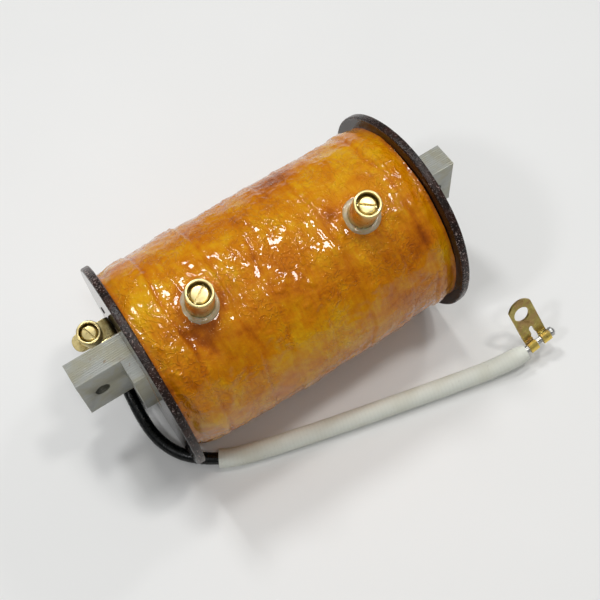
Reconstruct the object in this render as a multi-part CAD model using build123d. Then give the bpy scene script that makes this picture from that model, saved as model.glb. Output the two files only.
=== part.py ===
"""Double-ended magneto ignition coil.

A laminated steel core carries a taped, varnished winding between two round fibre flanges.  Two brass
high-tension posts stand on the winding, a brass primary terminal stands on the left flange, and a
sleeved lead with a flag tag runs from it along the surface that the coil lies on.

Frame, in millimetres: the origin is the middle of the core, half way between the two core bolts, on
the seat plane of the lap tongues.  +X runs along the core to the right-hand flange, -Y is the side
that the tongues' seats face, and +Z is up, away from the surface that the flanges rest on.
"""

import math
import os

from build123d import *

# ---------------------------------------------------------------- driving dimensions
FLANGE_D = 58.0  # round fibre flanges
FLANGE_T = 2.2
COIL_L = 83.2  # over the flanges' outer faces
WINDING_R = 26.1  # outside of the tape

CORE_L = 115.0  # long laminations, tongue tip to tongue tip
CORE_H = 16.8  # along Z
CORE_W = 14.4  # along Y, both stacks together
SHORT_L = 90.0  # short laminations, which leave a lap tongue at each end
BOLT_SPACING = 104.0
BOLT_D = 4.0

POSTS = {"left": (-22.8, 14.2), "right": (22.0, 17.7)}  # X, and degrees they lean towards -Y
LEAN = 16.0  # degrees that the primary terminal leans towards -Y
POST_TOP = 35.0  # height of a post's rim from the coil's axis
POST_D = 7.0

TERMINAL_X = -47.8  # primary terminal, in the leaning frame
TERMINAL_Y = 13.3
TERMINAL_D = 6.3

LEAD_D = 3.4  # insulated lead
SLEEVE_D = 5.3  # woven sleeve over the lead
CONDUCTOR_D = 1.9

# ---------------------------------------------------------------- shared fits and thicknesses
GLUE = 0.05  # gap that stands for a glue or varnish line
THREAD_FIT = 0.05  # radial, for a screw in its thread

LAMINATIONS = 12  # sheets in each stack
LAMINATION_PITCH = CORE_W / 2 / LAMINATIONS
LAMINATION_GAP = 0.04
SEAT_RELIEF = 0.03  # the sheet between the stacks stands this proud at its two seats
RIVET_X = 26.0  # core rivets, hidden inside the former
RIVET_D = 3.0

FORMER_CLEAR = 0.25  # core to former
FORMER_WALL = 1.2
PRIMARY_T = 3.0
PRIMARY_WRAP_T = 0.9
SECONDARY_R = 23.0
INNER_WRAP_R = 24.3
MARGIN_T = 1.5  # pressboard rings between windings and flanges
DIVIDER_T = 1.4
LINK_D = 0.8  # fine-wire joint between the two secondary sections

SCREW_D = 3.0
SCREW_TRAVEL = 2.5  # how far a terminal screw backs out

FLANGE_X = COIL_L / 2  # outer face
FLANGE_IN = FLANGE_X - FLANGE_T  # inner face
FLOOR = -FLANGE_D / 2
WINDING_END = FLANGE_IN - MARGIN_T - 3 * GLUE

# half width and half height of each rectangular shell, from the core outwards
CORE_HALF = (CORE_W / 2, CORE_H / 2)
FORMER_IN = tuple(h + FORMER_CLEAR for h in CORE_HALF)
FORMER_OUT = tuple(h + FORMER_WALL for h in FORMER_IN)
PRIMARY_IN = tuple(h + GLUE for h in FORMER_OUT)
PRIMARY_OUT = tuple(h + PRIMARY_T for h in PRIMARY_IN)
WRAP_IN = tuple(h + GLUE for h in PRIMARY_OUT)
WRAP_OUT = tuple(h + PRIMARY_WRAP_T for h in WRAP_IN)
SECONDARY_IN = tuple(h + GLUE for h in WRAP_OUT)

# ---------------------------------------------------------------- corners and edges
FORMER_CORNER = 0.8  # outer corners of the former, and of what fits over it
FORMER_IN_CORNER = 0.3
PRIMARY_CORNER = PRIMARY_T
WRAP_CORNER = PRIMARY_CORNER + PRIMARY_WRAP_T
FLANGE_EDGE = 0.35
CUP_CHAMFER = 0.2
HEAD_EDGE = 0.4
TIP_CHAMFER = 0.4
COLLAR_CHAMFER = 0.5
STRIP_CLEAR = 0.04  # packing strip to core and former
STRIP_INSET = 1.0  # strip's edges inside the core's height
FAR = CORE_L  # longer than anything it cuts

# ---------------------------------------------------------------- primary strap, rivets and start wire
STRAP_T = 1.0
STRAP_W = 5.0
STRAP_TOP = 0.7  # upper face, in the leaning frame
STRAP_TIP = -53.3
STRAP_FOOT = -16.0  # lower end of the upright leg
STRAP_X = -FLANGE_X - GLUE  # the face against the flange
STRAP_RIVET_D = 2.0
STRAP_RIVETS = (-3.6, -9.2)  # heights on the upright leg
RIVET_HEAD_D = 3.6
COUNTERSINK = 0.8

START_WIRE_D = 0.9
START_WIRE_Z = -3.2  # where the primary's start wire passes the flange, in the leaning frame
START_WIRE_Y = 18.6
BUSH_D = 3.0
RIVET_HEAD_T = 0.7
RIVET_HEAD_EDGE = 0.5
RIVET_SEAT = STRAP_X - STRAP_T - GLUE
STRAP_TIP_CORNER = 2.2
BUSH_LIP = 0.1  # bush standing out of the flange
LEAD_WIRE_D = 0.8  # secondary end to contact plate
START_WIRE_IN = PRIMARY_OUT[0] - 1.5  # where the start wire leaves the primary
START_WIRE_BEND = 1.1
SLOT_RUN_ON = 1.5  # margin ring's slot past the wire's inner end
START_WIRE_OUT = 0.65  # wire's line in front of the flange's outer face

# ---------------------------------------------------------------- outer tape
TAPE_BANDS = 5  # lapped turns of the last tape layer
TAPE_STEP = 0.3  # height of a lap's edge
TAPE_END_DROP = 0.9
TAPE_END = 5.0
COLLAR_D = 9.8
TAPE_LAP = 0.2  # slope of a lap's edge, along X
TAPE_POCKET = 4.0  # how far the posts' holes reach below the inner wrap

# ---------------------------------------------------------------- posts and screws
PLATE_BASE = INNER_WRAP_R + GLUE
PLATE_T = 0.8
POST_BASE = PLATE_BASE + PLATE_T + GLUE
COLLAR_TOP = 26.7
POST_FOOT_D = 6.6  # the post's foot inside the collar, below a shoulder
RECESS_D = 5.5
HEAD_D = 4.7
HEAD_H = 2.0
HEAD_DROP = 0.8  # head's top below the rim
WASHER_T = 0.5
WASHER_D = 5.0
SLOT_W = 0.8
SLOT_DEPTH = 0.9
POST_SHANK = 5.8
SLOT_TURNS = {"left": 32.0, "right": -37.0}  # angles at which the slots stand

# ---------------------------------------------------------------- primary terminal
TERMINAL_BASE = STRAP_TOP + GLUE
TERMINAL_RIM = 5.6
TERMINAL_RECESS_D = 5.0
TERMINAL_HEAD_D = 4.3
TERMINAL_WASHER_D = 4.6
TERMINAL_SHANK = 6.2
TERMINAL_SLOT_TURN = -73.0
NUT_ACROSS_FLATS = 5.5
NUT_T = 1.8
FERRULE_D = 4.6
FERRULE_L = 5.0
FERRULE_CAP = 0.8  # closed top of the ferrule

# ---------------------------------------------------------------- lead and sleeve
FERRULE = (STRAP_X - STRAP_T - GLUE - FERRULE_D / 2, 16.4, -11.4)
LEAD_Z = FLOOR + LEAD_D / 2  # lead resting on the surface
SLEEVE_Z = FLOOR + SLEEVE_D / 2 + 0.02

# The lead's route: down from the ferrule, forward under the core, round under the left flange's
# rim and along the front of the coil.
ROUTE = [
    (FERRULE[0], 16.4, -10.4),
    (FERRULE[0], 16.4, -16.8),
    (-45.6, 13.2, -22.9),
    (-46.4, 7.2, -26.6),
    (-47.0, -0.2, LEAD_Z),
    (-46.6, -7.8, LEAD_Z),
    (-43.9, -14.9, LEAD_Z),
    (-38.8, -20.6, SLEEVE_Z),
    (-31.8, -24.9, SLEEVE_Z),
    (-22.0, -27.9, SLEEVE_Z),
    (-6.0, -32.3, SLEEVE_Z),
    (13.0, -37.0, SLEEVE_Z),
    (33.0, -41.8, SLEEVE_Z),
    (42.5, -44.0, -26.2),
    (49.0, -45.0, -24.9),
]
MOUTH_RUN = 7  # the sleeve's mouth is on the run after this point
MOUTH_SHARE = 0.48
SLEEVE_OVERHANG = 2.6  # sleeve past the end of the insulation
SLEEVE_WALL = 0.75

# ---------------------------------------------------------------- flag tag
TAG_EYE = (53.7, -38.3, -15.1)  # centre of the tag's hole
TAG_TURN = 0.8  # degrees the tag's width turns from +X towards +Y
TAG_RISE = 11.8  # degrees its width rises towards +X
TAG_LEAN = 31.9  # degrees its top leans back from upright
TAG_T = 0.8
TAG_LEFT = -3.1  # plate edges from the hole's centre, along the width
TAG_RIGHT = 4.0
TAG_SHOULDER = 2.45
TAG_TOP = 4.45
TAG_HOLE_D = 4.6
TAG_SLOT_W = 1.3
TAG_SLOT_TOP = -5.3
TAG_BARREL_Q = -10.5  # conductor's axis below the hole's centre
TAG_BARREL_D = 3.6
TAG_BARREL_L = 2.6
CRIMP_GAP = 0.03
CONDUCTOR_BEND = 1.3  # where it turns into the crimps, before the plate's edge
CONDUCTOR_TIP = 1.9  # past the plate's other edge

PARTS = {}


def keep(name, *solids):
    """Store one named piece, or a group of identical pieces, for export."""
    PARTS[name] = solids[0] if len(solids) == 1 else Compound(children=list(solids))


def leaning(shape, lean=LEAN):
    """Turn a shape from a terminal's leaning frame into the coil's frame."""
    return Rot(lean, 0, 0) * shape


def disc_x(radius, x0, x1, y=0.0, z=0.0):
    """A cylinder along X from x0 to x1."""
    return Pos((x0 + x1) / 2, y, z) * Rot(0, 90, 0) * Cylinder(radius, abs(x1 - x0))


def disc_y(radius, x, z, y0, y1):
    """A cylinder along Y from y0 to y1."""
    return Pos(x, (y0 + y1) / 2, z) * Rot(90, 0, 0) * Cylinder(radius, abs(y1 - y0))


def disc_z(radius, z0, z1, x=0.0, y=0.0):
    """A cylinder along Z from z0 to z1."""
    return Pos(x, y, (z0 + z1) / 2) * Cylinder(radius, abs(z1 - z0))


def bar_x(half, corner, x0, x1):
    """A rounded rectangular bar along X; half is its half width and half height."""
    section = RectangleRounded(2 * half[0], 2 * half[1], corner)
    bar = extrude(Plane.YZ * section, x1 - x0)
    return Pos(x0, 0, 0) * bar


# ---------------------------------------------------------------- laminated core
def make_core():
    """Two stacks of sheets along Y: the long one ends in drilled lap tongues."""
    sheet_t = LAMINATION_PITCH - LAMINATION_GAP
    depth = CORE_W
    drills = [disc_y(BOLT_D / 2, s * BOLT_SPACING / 2, 0, -depth, depth) for s in (-1, 1)]
    rivet_drills = [disc_y(RIVET_D / 2 + GLUE, s * RIVET_X, 0, -depth, depth) for s in (-1, 1)]
    long_sheet = Box(CORE_L, sheet_t, CORE_H) - drills - rivet_drills
    short_sheet = Box(SHORT_L, sheet_t, CORE_H) - rivet_drills
    first = sheet_t / 2
    steps = [first + i * LAMINATION_PITCH for i in range(LAMINATIONS)]
    relief = Pos(0, -first, 0) * Box(SHORT_L + 2 * GLUE, 2 * SEAT_RELIEF, CORE_H + 1)
    sheets = [long_sheet - relief] + [long_sheet] * (LAMINATIONS - 1)
    keep("core_long_laminations", *[Pos(0, y, 0) * sheet for y, sheet in zip(steps, sheets)])
    keep("core_short_laminations", *[Pos(0, -y - LAMINATION_GAP, 0) * short_sheet for y in steps])
    back = steps[-1] + first
    front = -back - LAMINATION_GAP
    keep("core_rivets", *[disc_y(RIVET_D / 2, s * RIVET_X, 0, front, back) for s in (-1, 1)])

    strip_t = FORMER_CLEAR - STRIP_CLEAR
    strip_y = -CORE_W / 2 - FORMER_CLEAR / 2
    keep("core_packing_strip", Pos(0, strip_y, 0) * Box(COIL_L, strip_t, CORE_H - 2 * STRIP_INSET))


# ---------------------------------------------------------------- former and flanges
def make_former():
    tube = bar_x(FORMER_OUT, FORMER_CORNER, -FLANGE_X, FLANGE_X)
    tube = tube - bar_x(FORMER_IN, FORMER_IN_CORNER, -FAR, FAR)
    keep("former_tube", tube)


def rivet_hole(z, extra):
    """A countersunk rivet body along X, in the leaning frame."""
    shank = disc_x(STRAP_RIVET_D / 2 + extra, RIVET_SEAT - RIVET_HEAD_T / 2, -FLANGE_IN, TERMINAL_Y, z)
    sink = Cone(
        STRAP_RIVET_D / 2 + COUNTERSINK + extra,
        STRAP_RIVET_D / 2 + extra,
        COUNTERSINK,
    )
    sink = Pos(-FLANGE_IN - COUNTERSINK / 2, TERMINAL_Y, z) * Rot(0, -90, 0) * sink
    return shank + sink


def make_flanges():
    opening = bar_x(PRIMARY_IN, FORMER_CORNER, -FAR, FAR)
    for side, name in ((-1, "flange_left"), (1, "flange_right")):
        disc = disc_x(FLANGE_D / 2, side * FLANGE_IN, side * FLANGE_X)
        rims = disc.edges().filter_by(GeomType.CIRCLE)
        flange = fillet(rims, FLANGE_EDGE) - opening
        if side < 0:
            for z in STRAP_RIVETS:
                flange = flange - leaning(rivet_hole(z, GLUE))
            wire_hole = disc_x(BUSH_D / 2 + GLUE, -FAR, 0, START_WIRE_Y, START_WIRE_Z)
            flange = flange - leaning(wire_hole)
        keep(name, flange)


# ---------------------------------------------------------------- windings and insulation
def make_windings():
    primary = bar_x(PRIMARY_OUT, PRIMARY_CORNER, -WINDING_END, WINDING_END)
    keep("primary_winding", primary - bar_x(PRIMARY_IN, FORMER_CORNER, -FAR, FAR))

    wrap = bar_x(WRAP_OUT, WRAP_CORNER, -WINDING_END, WINDING_END)
    keep("primary_insulation", wrap - bar_x(WRAP_IN, PRIMARY_CORNER, -FAR, FAR))

    inside = bar_x(SECONDARY_IN, WRAP_CORNER, -FAR, FAR)
    inner = DIVIDER_T / 2 + GLUE
    for side, name in ((-1, "secondary_winding_left"), (1, "secondary_winding_right")):
        keep(name, disc_x(SECONDARY_R, side * inner, side * WINDING_END) - inside)

    link_z = SECONDARY_IN[1] + LINK_D
    link_slot = disc_x(LINK_D / 2 + GLUE, -DIVIDER_T, DIVIDER_T, 0, link_z)
    divider = disc_x(SECONDARY_R, -DIVIDER_T / 2, DIVIDER_T / 2) - inside - link_slot
    keep("section_divider", divider)
    keep("section_link", disc_x(LINK_D / 2, -DIVIDER_T / 2, DIVIDER_T / 2, 0, link_z))

    # margin rings fill the space beside the windings; wires run to the terminals in their slots
    opening = bar_x(PRIMARY_IN, FORMER_CORNER, -FAR, FAR)
    for side, name in ((-1, "margin_ring_left"), (1, "margin_ring_right")):
        x0 = side * (FLANGE_IN - GLUE)
        ring = disc_x(SECONDARY_R, x0, x0 - side * MARGIN_T) - opening
        if side < 0:
            ring = ring - leaning(start_wire_slot())
        keep(name, ring)

    inner_hole = disc_x(SECONDARY_R + GLUE, -FAR, FAR)
    cambric = disc_x(INNER_WRAP_R, -FLANGE_IN + GLUE, FLANGE_IN - GLUE) - inner_hole
    for x, lean in POSTS.values():
        cambric = cambric - leaning(disc_z(LEAD_WIRE_D / 2 + GLUE, 0, WINDING_R, x), lean)
    keep("inner_insulation_wrap", cambric)


def start_wire_slot():
    x_mid = -(FLANGE_IN - GLUE - MARGIN_T / 2)
    inner_end = START_WIRE_IN - SLOT_RUN_ON
    length = START_WIRE_Y + BUSH_D / 2 - inner_end
    y_mid = inner_end + length / 2
    return Pos(x_mid, y_mid, START_WIRE_Z) * Box(MARGIN_T * 2, length, START_WIRE_D + 4 * GLUE)


def make_tape():
    """The outer tape: lapped bands, so its outline is a shallow saw tooth, lower at both ends."""
    inner = INNER_WRAP_R + GLUE
    end = FLANGE_IN - GLUE
    flat = end - TAPE_END
    band = 2 * flat / TAPE_BANDS
    outline = [(-end, inner), (-end, WINDING_R - TAPE_END_DROP)]
    for i in range(TAPE_BANDS):
        left = -flat + i * band
        outline.append((left, WINDING_R))
        outline.append((left + band - TAPE_LAP, WINDING_R - TAPE_STEP))
    outline += [(end, WINDING_R - TAPE_END_DROP), (end, inner)]
    face = Plane.XZ * make_face(Polyline(*outline, close=True))
    tape = revolve(face, Axis.X, 360)
    for x, lean in POSTS.values():
        pocket = disc_z(COLLAR_D / 2 + GLUE, INNER_WRAP_R - TAPE_POCKET, POST_TOP, x)
        tape = tape - leaning(pocket, lean)
    keep("outer_tape_wrap", tape)


# ---------------------------------------------------------------- terminals
def cup(diameter, recess_d, base, rim, x, y):
    """A turned brass cup with a threaded hole; returns it and the height of its recess floor."""
    floor = rim - HEAD_DROP - HEAD_H - WASHER_T - 2 * GLUE
    body = disc_z(diameter / 2, base, rim, x, y)
    body = chamfer(body.edges().filter_by(GeomType.CIRCLE).sort_by(Axis.Z)[-1], CUP_CHAMFER)
    body = body - disc_z(recess_d / 2, floor, rim + 1, x, y)
    return body - disc_z(SCREW_D / 2 + THREAD_FIT, base - 1, rim, x, y), floor


def screw(head_d, floor, length, x, y, turn):
    """A slotted cheese-head screw; turn is the slot's angle about the screw's axis."""
    seat = floor + WASHER_T + 2 * GLUE
    head = disc_z(head_d / 2, seat, seat + HEAD_H, x, y)
    head = fillet(head.edges().filter_by(GeomType.CIRCLE).sort_by(Axis.Z)[-1], HEAD_EDGE)
    shank = disc_z(SCREW_D / 2, seat - length, seat, x, y)
    shank = chamfer(shank.edges().filter_by(GeomType.CIRCLE).sort_by(Axis.Z)[0], TIP_CHAMFER)
    slot = Pos(x, y, seat + HEAD_H) * Rot(0, 0, turn) * Box(head_d + 1, SLOT_W, 2 * SLOT_DEPTH)
    return head + shank - slot


def washer(outer_d, floor, x, y):
    ring = disc_z(outer_d / 2, floor + GLUE, floor + GLUE + WASHER_T, x, y)
    return ring - disc_z(SCREW_D / 2 + THREAD_FIT, floor - 1, floor + 2, x, y)


def make_posts():
    for name, (x, lean) in POSTS.items():
        plate = disc_z(COLLAR_D / 2 - 0.2, PLATE_BASE, PLATE_BASE + PLATE_T, x)
        keep("contact_plate_" + name, leaning(plate, lean))
        wire = disc_z(LEAD_WIRE_D / 2, SECONDARY_R, PLATE_BASE, x)
        keep("secondary_lead_" + name, leaning(wire, lean))

        body, floor = cup(POST_D, RECESS_D, POST_BASE, POST_TOP, x, 0)
        foot = disc_z(POST_D, POST_BASE - 1, COLLAR_TOP + GLUE, x)
        foot = foot - disc_z(POST_FOOT_D / 2, POST_BASE - 2, COLLAR_TOP + 1, x)
        keep("post_" + name, leaning(body - foot, lean))
        collar = disc_z(COLLAR_D / 2, POST_BASE, COLLAR_TOP, x)
        collar = chamfer(collar.edges().filter_by(GeomType.CIRCLE).sort_by(Axis.Z)[-1], COLLAR_CHAMFER)
        collar = collar - disc_z(POST_FOOT_D / 2 + GLUE, POST_BASE - 1, COLLAR_TOP + 1, x)
        keep("post_collar_" + name, leaning(collar, lean))
        keep("post_washer_" + name, leaning(washer(WASHER_D, floor, x, 0), lean))
        bolt = screw(HEAD_D, floor, POST_SHANK, x, 0, SLOT_TURNS[name])
        keep("post_screw_" + name, leaning(bolt, lean))


def make_primary_terminal():
    """The bent strap on the left flange, its cup, screw, washer, nut, rivets and lead ferrule."""
    x, y = TERMINAL_X, TERMINAL_Y
    reach = STRAP_X - STRAP_TIP
    ledge = Pos((STRAP_X + STRAP_TIP) / 2, y, STRAP_TOP - STRAP_T / 2) * Box(reach, STRAP_W, STRAP_T)
    tip_edges = ledge.edges().filter_by(Axis.Z).sort_by(Axis.X)[:2]
    ledge = fillet(tip_edges, STRAP_TIP_CORNER)
    leg_h = STRAP_TOP - STRAP_FOOT
    leg = Pos(STRAP_X - STRAP_T / 2, y, STRAP_TOP - leg_h / 2) * Box(STRAP_T, STRAP_W, leg_h)
    strap = ledge + leg
    bend = strap.edges().filter_by(Axis.Y).filter_by_position(Axis.X, STRAP_X - 0.01, STRAP_X + 0.01)
    strap = fillet(bend.sort_by(Axis.Z)[-1], STRAP_T * 0.8)
    strap = strap - disc_z(SCREW_D / 2 + 2 * THREAD_FIT, -FAR, FAR, x, y)
    for z in STRAP_RIVETS:
        strap = strap - disc_x(STRAP_RIVET_D / 2 + GLUE, -FAR, -FLANGE_X, y, z)
    keep("primary_strap", leaning(strap))

    rivets = []
    for z in STRAP_RIVETS:
        head = disc_x(RIVET_HEAD_D / 2, RIVET_SEAT - RIVET_HEAD_T, RIVET_SEAT, y, z)
        head = fillet(head.edges().filter_by(GeomType.CIRCLE).sort_by(Axis.X)[0], RIVET_HEAD_EDGE)
        rivets.append(leaning(head + rivet_hole(z, 0)))
    keep("strap_rivets", *rivets)

    body, floor = cup(TERMINAL_D, TERMINAL_RECESS_D, TERMINAL_BASE, TERMINAL_RIM, x, y)
    keep("primary_cup", leaning(body))
    keep("primary_washer", leaning(washer(TERMINAL_WASHER_D, floor, x, y)))
    bolt = screw(TERMINAL_HEAD_D, floor, TERMINAL_SHANK, x, y, TERMINAL_SLOT_TURN)
    keep("primary_screw", leaning(bolt))
    nut_z = STRAP_TOP - STRAP_T - GLUE - NUT_T / 2
    hexagon = RegularPolygon(NUT_ACROSS_FLATS / 2, 6, major_radius=False)
    nut = Pos(x, y, nut_z) * extrude(hexagon, NUT_T / 2, both=True)
    keep("primary_nut", leaning(nut - disc_z(SCREW_D / 2 + THREAD_FIT, -FAR, FAR, x, y)))

    tube = disc_z(FERRULE_D / 2, -FERRULE_L / 2, FERRULE_L / 2)
    bore = disc_z(LEAD_D / 2 + GLUE, -FERRULE_L, FERRULE_L / 2 - FERRULE_CAP)
    keep("lead_ferrule", Pos(FERRULE) * (tube - bore))


def make_primary_wires():
    """The primary's start wire runs in the left margin ring's slot, and out through a bush."""
    x_mid = -(FLANGE_IN - GLUE - MARGIN_T / 2)
    start = Vector(x_mid, START_WIRE_IN, START_WIRE_Z)
    corner = Vector(x_mid, START_WIRE_Y, START_WIRE_Z)
    outside = Vector(-FLANGE_X - START_WIRE_OUT, START_WIRE_Y, START_WIRE_Z)
    tab = Vector(outside.X, TERMINAL_Y + STRAP_W / 2 + GLUE, START_WIRE_Z)
    route = FilletPolyline(start, corner, outside, tab, radius=START_WIRE_BEND)
    keep("primary_start_wire", leaning(tube_along(route, START_WIRE_D)))
    bush = disc_x(BUSH_D / 2, -FLANGE_X - BUSH_LIP, -FLANGE_IN, START_WIRE_Y, START_WIRE_Z)
    wire_way = disc_x(START_WIRE_D / 2 + 2 * GLUE, -FAR, 0, START_WIRE_Y, START_WIRE_Z)
    keep("flange_bush", leaning(bush - wire_way))


# ---------------------------------------------------------------- lead
def corner_radii(points):
    """The largest tangent arc at each corner: 0.45 of the shorter run over tan(half the turn)."""
    radii = []
    for before, here, after in zip(points, points[1:], points[2:]):
        run_in = Vector(*here) - Vector(*before)
        run_out = Vector(*after) - Vector(*here)
        half_turn = math.radians(run_in.get_angle(run_out)) / 2
        radii.append(0.45 * min(run_in.length, run_out.length) / math.tan(half_turn))
    return radii


def rounded_path(points, radii):
    return FilletPolyline(*[Vector(*p) for p in points], radius=radii)


def tube_along(path, diameter, bore=0.0):
    start = Plane(path @ 0, z_dir=path % 0)
    section = Circle(diameter / 2)
    if bore:
        section = section - Circle(bore / 2)
    return sweep(start * section, path)


def make_lead():
    radii = corner_radii(ROUTE)
    print("lead bend radii:", [round(r, 1) for r in radii])
    path = rounded_path(ROUTE, radii)
    lead = tube_along(path, LEAD_D)
    keep("lead", lead)
    ideal = path.length * math.pi * LEAD_D**2 / 4
    print(f"lead length {path.length:.1f}, volume {lead.volume:.1f}, section x length {ideal:.1f}")

    before, after = Vector(*ROUTE[MOUTH_RUN]), Vector(*ROUTE[MOUTH_RUN + 1])
    mouth = before + (after - before) * MOUTH_SHARE
    last = Vector(*ROUTE[-1])
    end = last + (last - Vector(*ROUTE[-2])).normalized() * SLEEVE_OVERHANG
    points = [tuple(mouth)] + ROUTE[MOUTH_RUN + 1 : -1] + [tuple(end)]
    sleeve_path = rounded_path(points, radii[MOUTH_RUN:])
    sleeve = tube_along(sleeve_path, SLEEVE_D, SLEEVE_D - 2 * SLEEVE_WALL)
    keep("lead_sleeve", sleeve)
    print(f"sleeve length {sleeve_path.length:.1f}, mouth {tuple(mouth)}, end {tuple(end)}")


# ---------------------------------------------------------------- flag tag
def tag_plane():
    """Local x is the tag's width, local y its length towards the hole, local z its front face."""
    turn, rise, lean = (math.radians(a) for a in (TAG_TURN, TAG_RISE, TAG_LEAN))
    width = Vector(math.cos(rise) * math.cos(turn), math.cos(rise) * math.sin(turn), math.sin(rise))
    front = width.cross(Vector(0, 0, 1)).normalized()
    up = front.cross(width)
    length = up * math.cos(lean) - front * math.sin(lean)
    return Plane(origin=TAG_EYE, x_dir=width, z_dir=width.cross(length))


def make_tag():
    centre = (TAG_LEFT + TAG_RIGHT) / 2
    top_arc = ThreePointArc((TAG_LEFT, TAG_SHOULDER), (centre, TAG_TOP), (TAG_RIGHT, TAG_SHOULDER))
    sides = Polyline(
        (TAG_RIGHT, TAG_SHOULDER),
        (TAG_RIGHT, TAG_BARREL_Q),
        (TAG_LEFT, TAG_BARREL_Q),
        (TAG_LEFT, TAG_SHOULDER),
    )
    outline = make_face([top_arc, sides])
    slot_h = TAG_SLOT_TOP - TAG_BARREL_Q + TAG_SLOT_W
    slot = Pos(centre, TAG_SLOT_TOP - slot_h / 2) * Rectangle(TAG_SLOT_W, slot_h)
    plate = extrude(outline - slot - Circle(TAG_HOLE_D / 2), TAG_T / 2, both=True)

    barrel_n = TAG_BARREL_D / 2 - TAG_T / 2
    barrels = []
    bore = disc_x(CONDUCTOR_D / 2 + CRIMP_GAP, -FAR, FAR, TAG_BARREL_Q, barrel_n)
    for start in (TAG_LEFT, TAG_RIGHT - TAG_BARREL_L):
        end = start + TAG_BARREL_L
        barrels.append(disc_x(TAG_BARREL_D / 2, start, end, TAG_BARREL_Q, barrel_n))
    tag = plate + barrels[0] + barrels[1] - bore
    plane = tag_plane()
    keep("lead_tag", plane.location * tag)

    # the tinned conductor leaves the insulation inside the sleeve and runs through both crimps
    bend = plane.from_local_coords(Vector(TAG_LEFT - CONDUCTOR_BEND, TAG_BARREL_Q, barrel_n))
    tip = plane.from_local_coords(Vector(TAG_RIGHT + CONDUCTOR_TIP, TAG_BARREL_Q, barrel_n))
    points = [ROUTE[-1], tuple(bend), tuple(tip)]
    path = rounded_path(points, corner_radii(points))
    keep("lead_conductor", tube_along(path, CONDUCTOR_D))
    print(f"conductor length {path.length:.1f}, bend {tuple(bend)}, tip {tuple(tip)}")


def main():
    make_core()
    make_former()
    make_flanges()
    make_windings()
    make_tape()
    make_posts()
    make_primary_terminal()
    make_primary_wires()
    make_lead()
    make_tag()
    os.makedirs("parts", exist_ok=True)
    for name, shape in PARTS.items():
        export_step(shape, f"parts/{name}.step")


main()
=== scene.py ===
"""Looks of a double-ended magneto ignition coil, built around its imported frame.

Shapes are modelled in millimetres and turned into metres when a piece is finished.  Posts and the
primary terminal stand in a frame that leans about the coil's axis; everything else is in the coil's
own frame: X along the core, -Y to the front, Z up.
"""

import math

import bmesh
import bpy
from bpy.props import FloatProperty, FloatVectorProperty, PointerProperty
from mathutils import Matrix, Vector, noise


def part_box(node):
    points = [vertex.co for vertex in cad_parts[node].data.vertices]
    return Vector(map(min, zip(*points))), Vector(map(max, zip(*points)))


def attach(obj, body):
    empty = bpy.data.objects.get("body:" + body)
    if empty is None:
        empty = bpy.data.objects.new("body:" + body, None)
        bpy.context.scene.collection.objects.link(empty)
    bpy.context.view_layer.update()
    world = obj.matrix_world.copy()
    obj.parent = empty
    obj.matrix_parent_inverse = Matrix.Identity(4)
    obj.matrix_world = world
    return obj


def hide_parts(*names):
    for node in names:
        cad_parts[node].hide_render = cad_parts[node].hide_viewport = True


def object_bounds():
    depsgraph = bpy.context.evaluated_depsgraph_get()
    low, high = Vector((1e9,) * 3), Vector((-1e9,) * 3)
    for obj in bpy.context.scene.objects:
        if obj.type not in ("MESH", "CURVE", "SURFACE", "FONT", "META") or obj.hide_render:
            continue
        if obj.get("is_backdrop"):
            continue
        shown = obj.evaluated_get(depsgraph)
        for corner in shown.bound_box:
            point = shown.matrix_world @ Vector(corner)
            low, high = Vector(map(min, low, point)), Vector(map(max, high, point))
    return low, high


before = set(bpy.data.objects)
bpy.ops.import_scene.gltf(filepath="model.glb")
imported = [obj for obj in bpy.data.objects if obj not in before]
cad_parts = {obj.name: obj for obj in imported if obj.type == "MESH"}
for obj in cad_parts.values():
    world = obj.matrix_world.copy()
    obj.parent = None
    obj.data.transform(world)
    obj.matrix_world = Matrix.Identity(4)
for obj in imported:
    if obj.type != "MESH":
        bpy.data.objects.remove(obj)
cad_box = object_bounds()

bl_info = {
    "name": "Ignition Coil",
    "version": (1, 0, 0),
    "blender": (4, 5, 0),
    "location": "View3D > Sidebar > Coil",
    "description": "Builds the visible pieces and materials of a taped ignition coil",
    "category": "Object",
}

MM = 0.001
TAU = math.tau
SEED = 4  # for noise_vector, which otherwise starts from the clock


def box_mm(node):
    """Lowest and highest corner of a frame node, in millimetres."""
    low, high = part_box(node)
    return low / MM, high / MM


# ---------------------------------------------------------------- sizes shared by several pieces
FLANGE_LOW, FLANGE_HIGH = box_mm("flange_left")
FLANGE_R = FLANGE_HIGH.z
FLANGE_OUT = -FLANGE_LOW.x
FLANGE_IN = -FLANGE_HIGH.x
FLOOR_Z = FLANGE_LOW.z
TAPE_R = box_mm("outer_tape_wrap")[1].z
TAPE_IN_R = box_mm("inner_insulation_wrap")[1].z + 0.05
FORMER_HALF = box_mm("former_tube")[1]
LONG_LOW, LONG_HIGH = box_mm("core_long_laminations")
SHORT_LOW, SHORT_HIGH = box_mm("core_short_laminations")

LEAN = Matrix.Rotation(math.radians(16.0), 4, "X")
POSTS = {"left": (-22.8, 14.2), "right": (22.0, 17.7)}  # X, and degrees they lean to the front
POST_R = 3.5
POST_RIM = 35.0
COLLAR_R = 4.9
CUP_DEPTH = 3.4  # from a cup's rim to its floor
TERMINAL_X = -47.8
TERMINAL_Y = 13.3
TERMINAL_R = 3.15
TERMINAL_RIM = 5.6
TERMINAL_RECESS_R = 2.45
TERMINAL_HEAD_R = 2.15
STRAP_W = 5.0
STRAP_T = 1.0
STRAP_X = -FLANGE_OUT - 0.55  # middle of the upright leg
STRAP_Z = 0.2  # middle of the ledge

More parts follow.
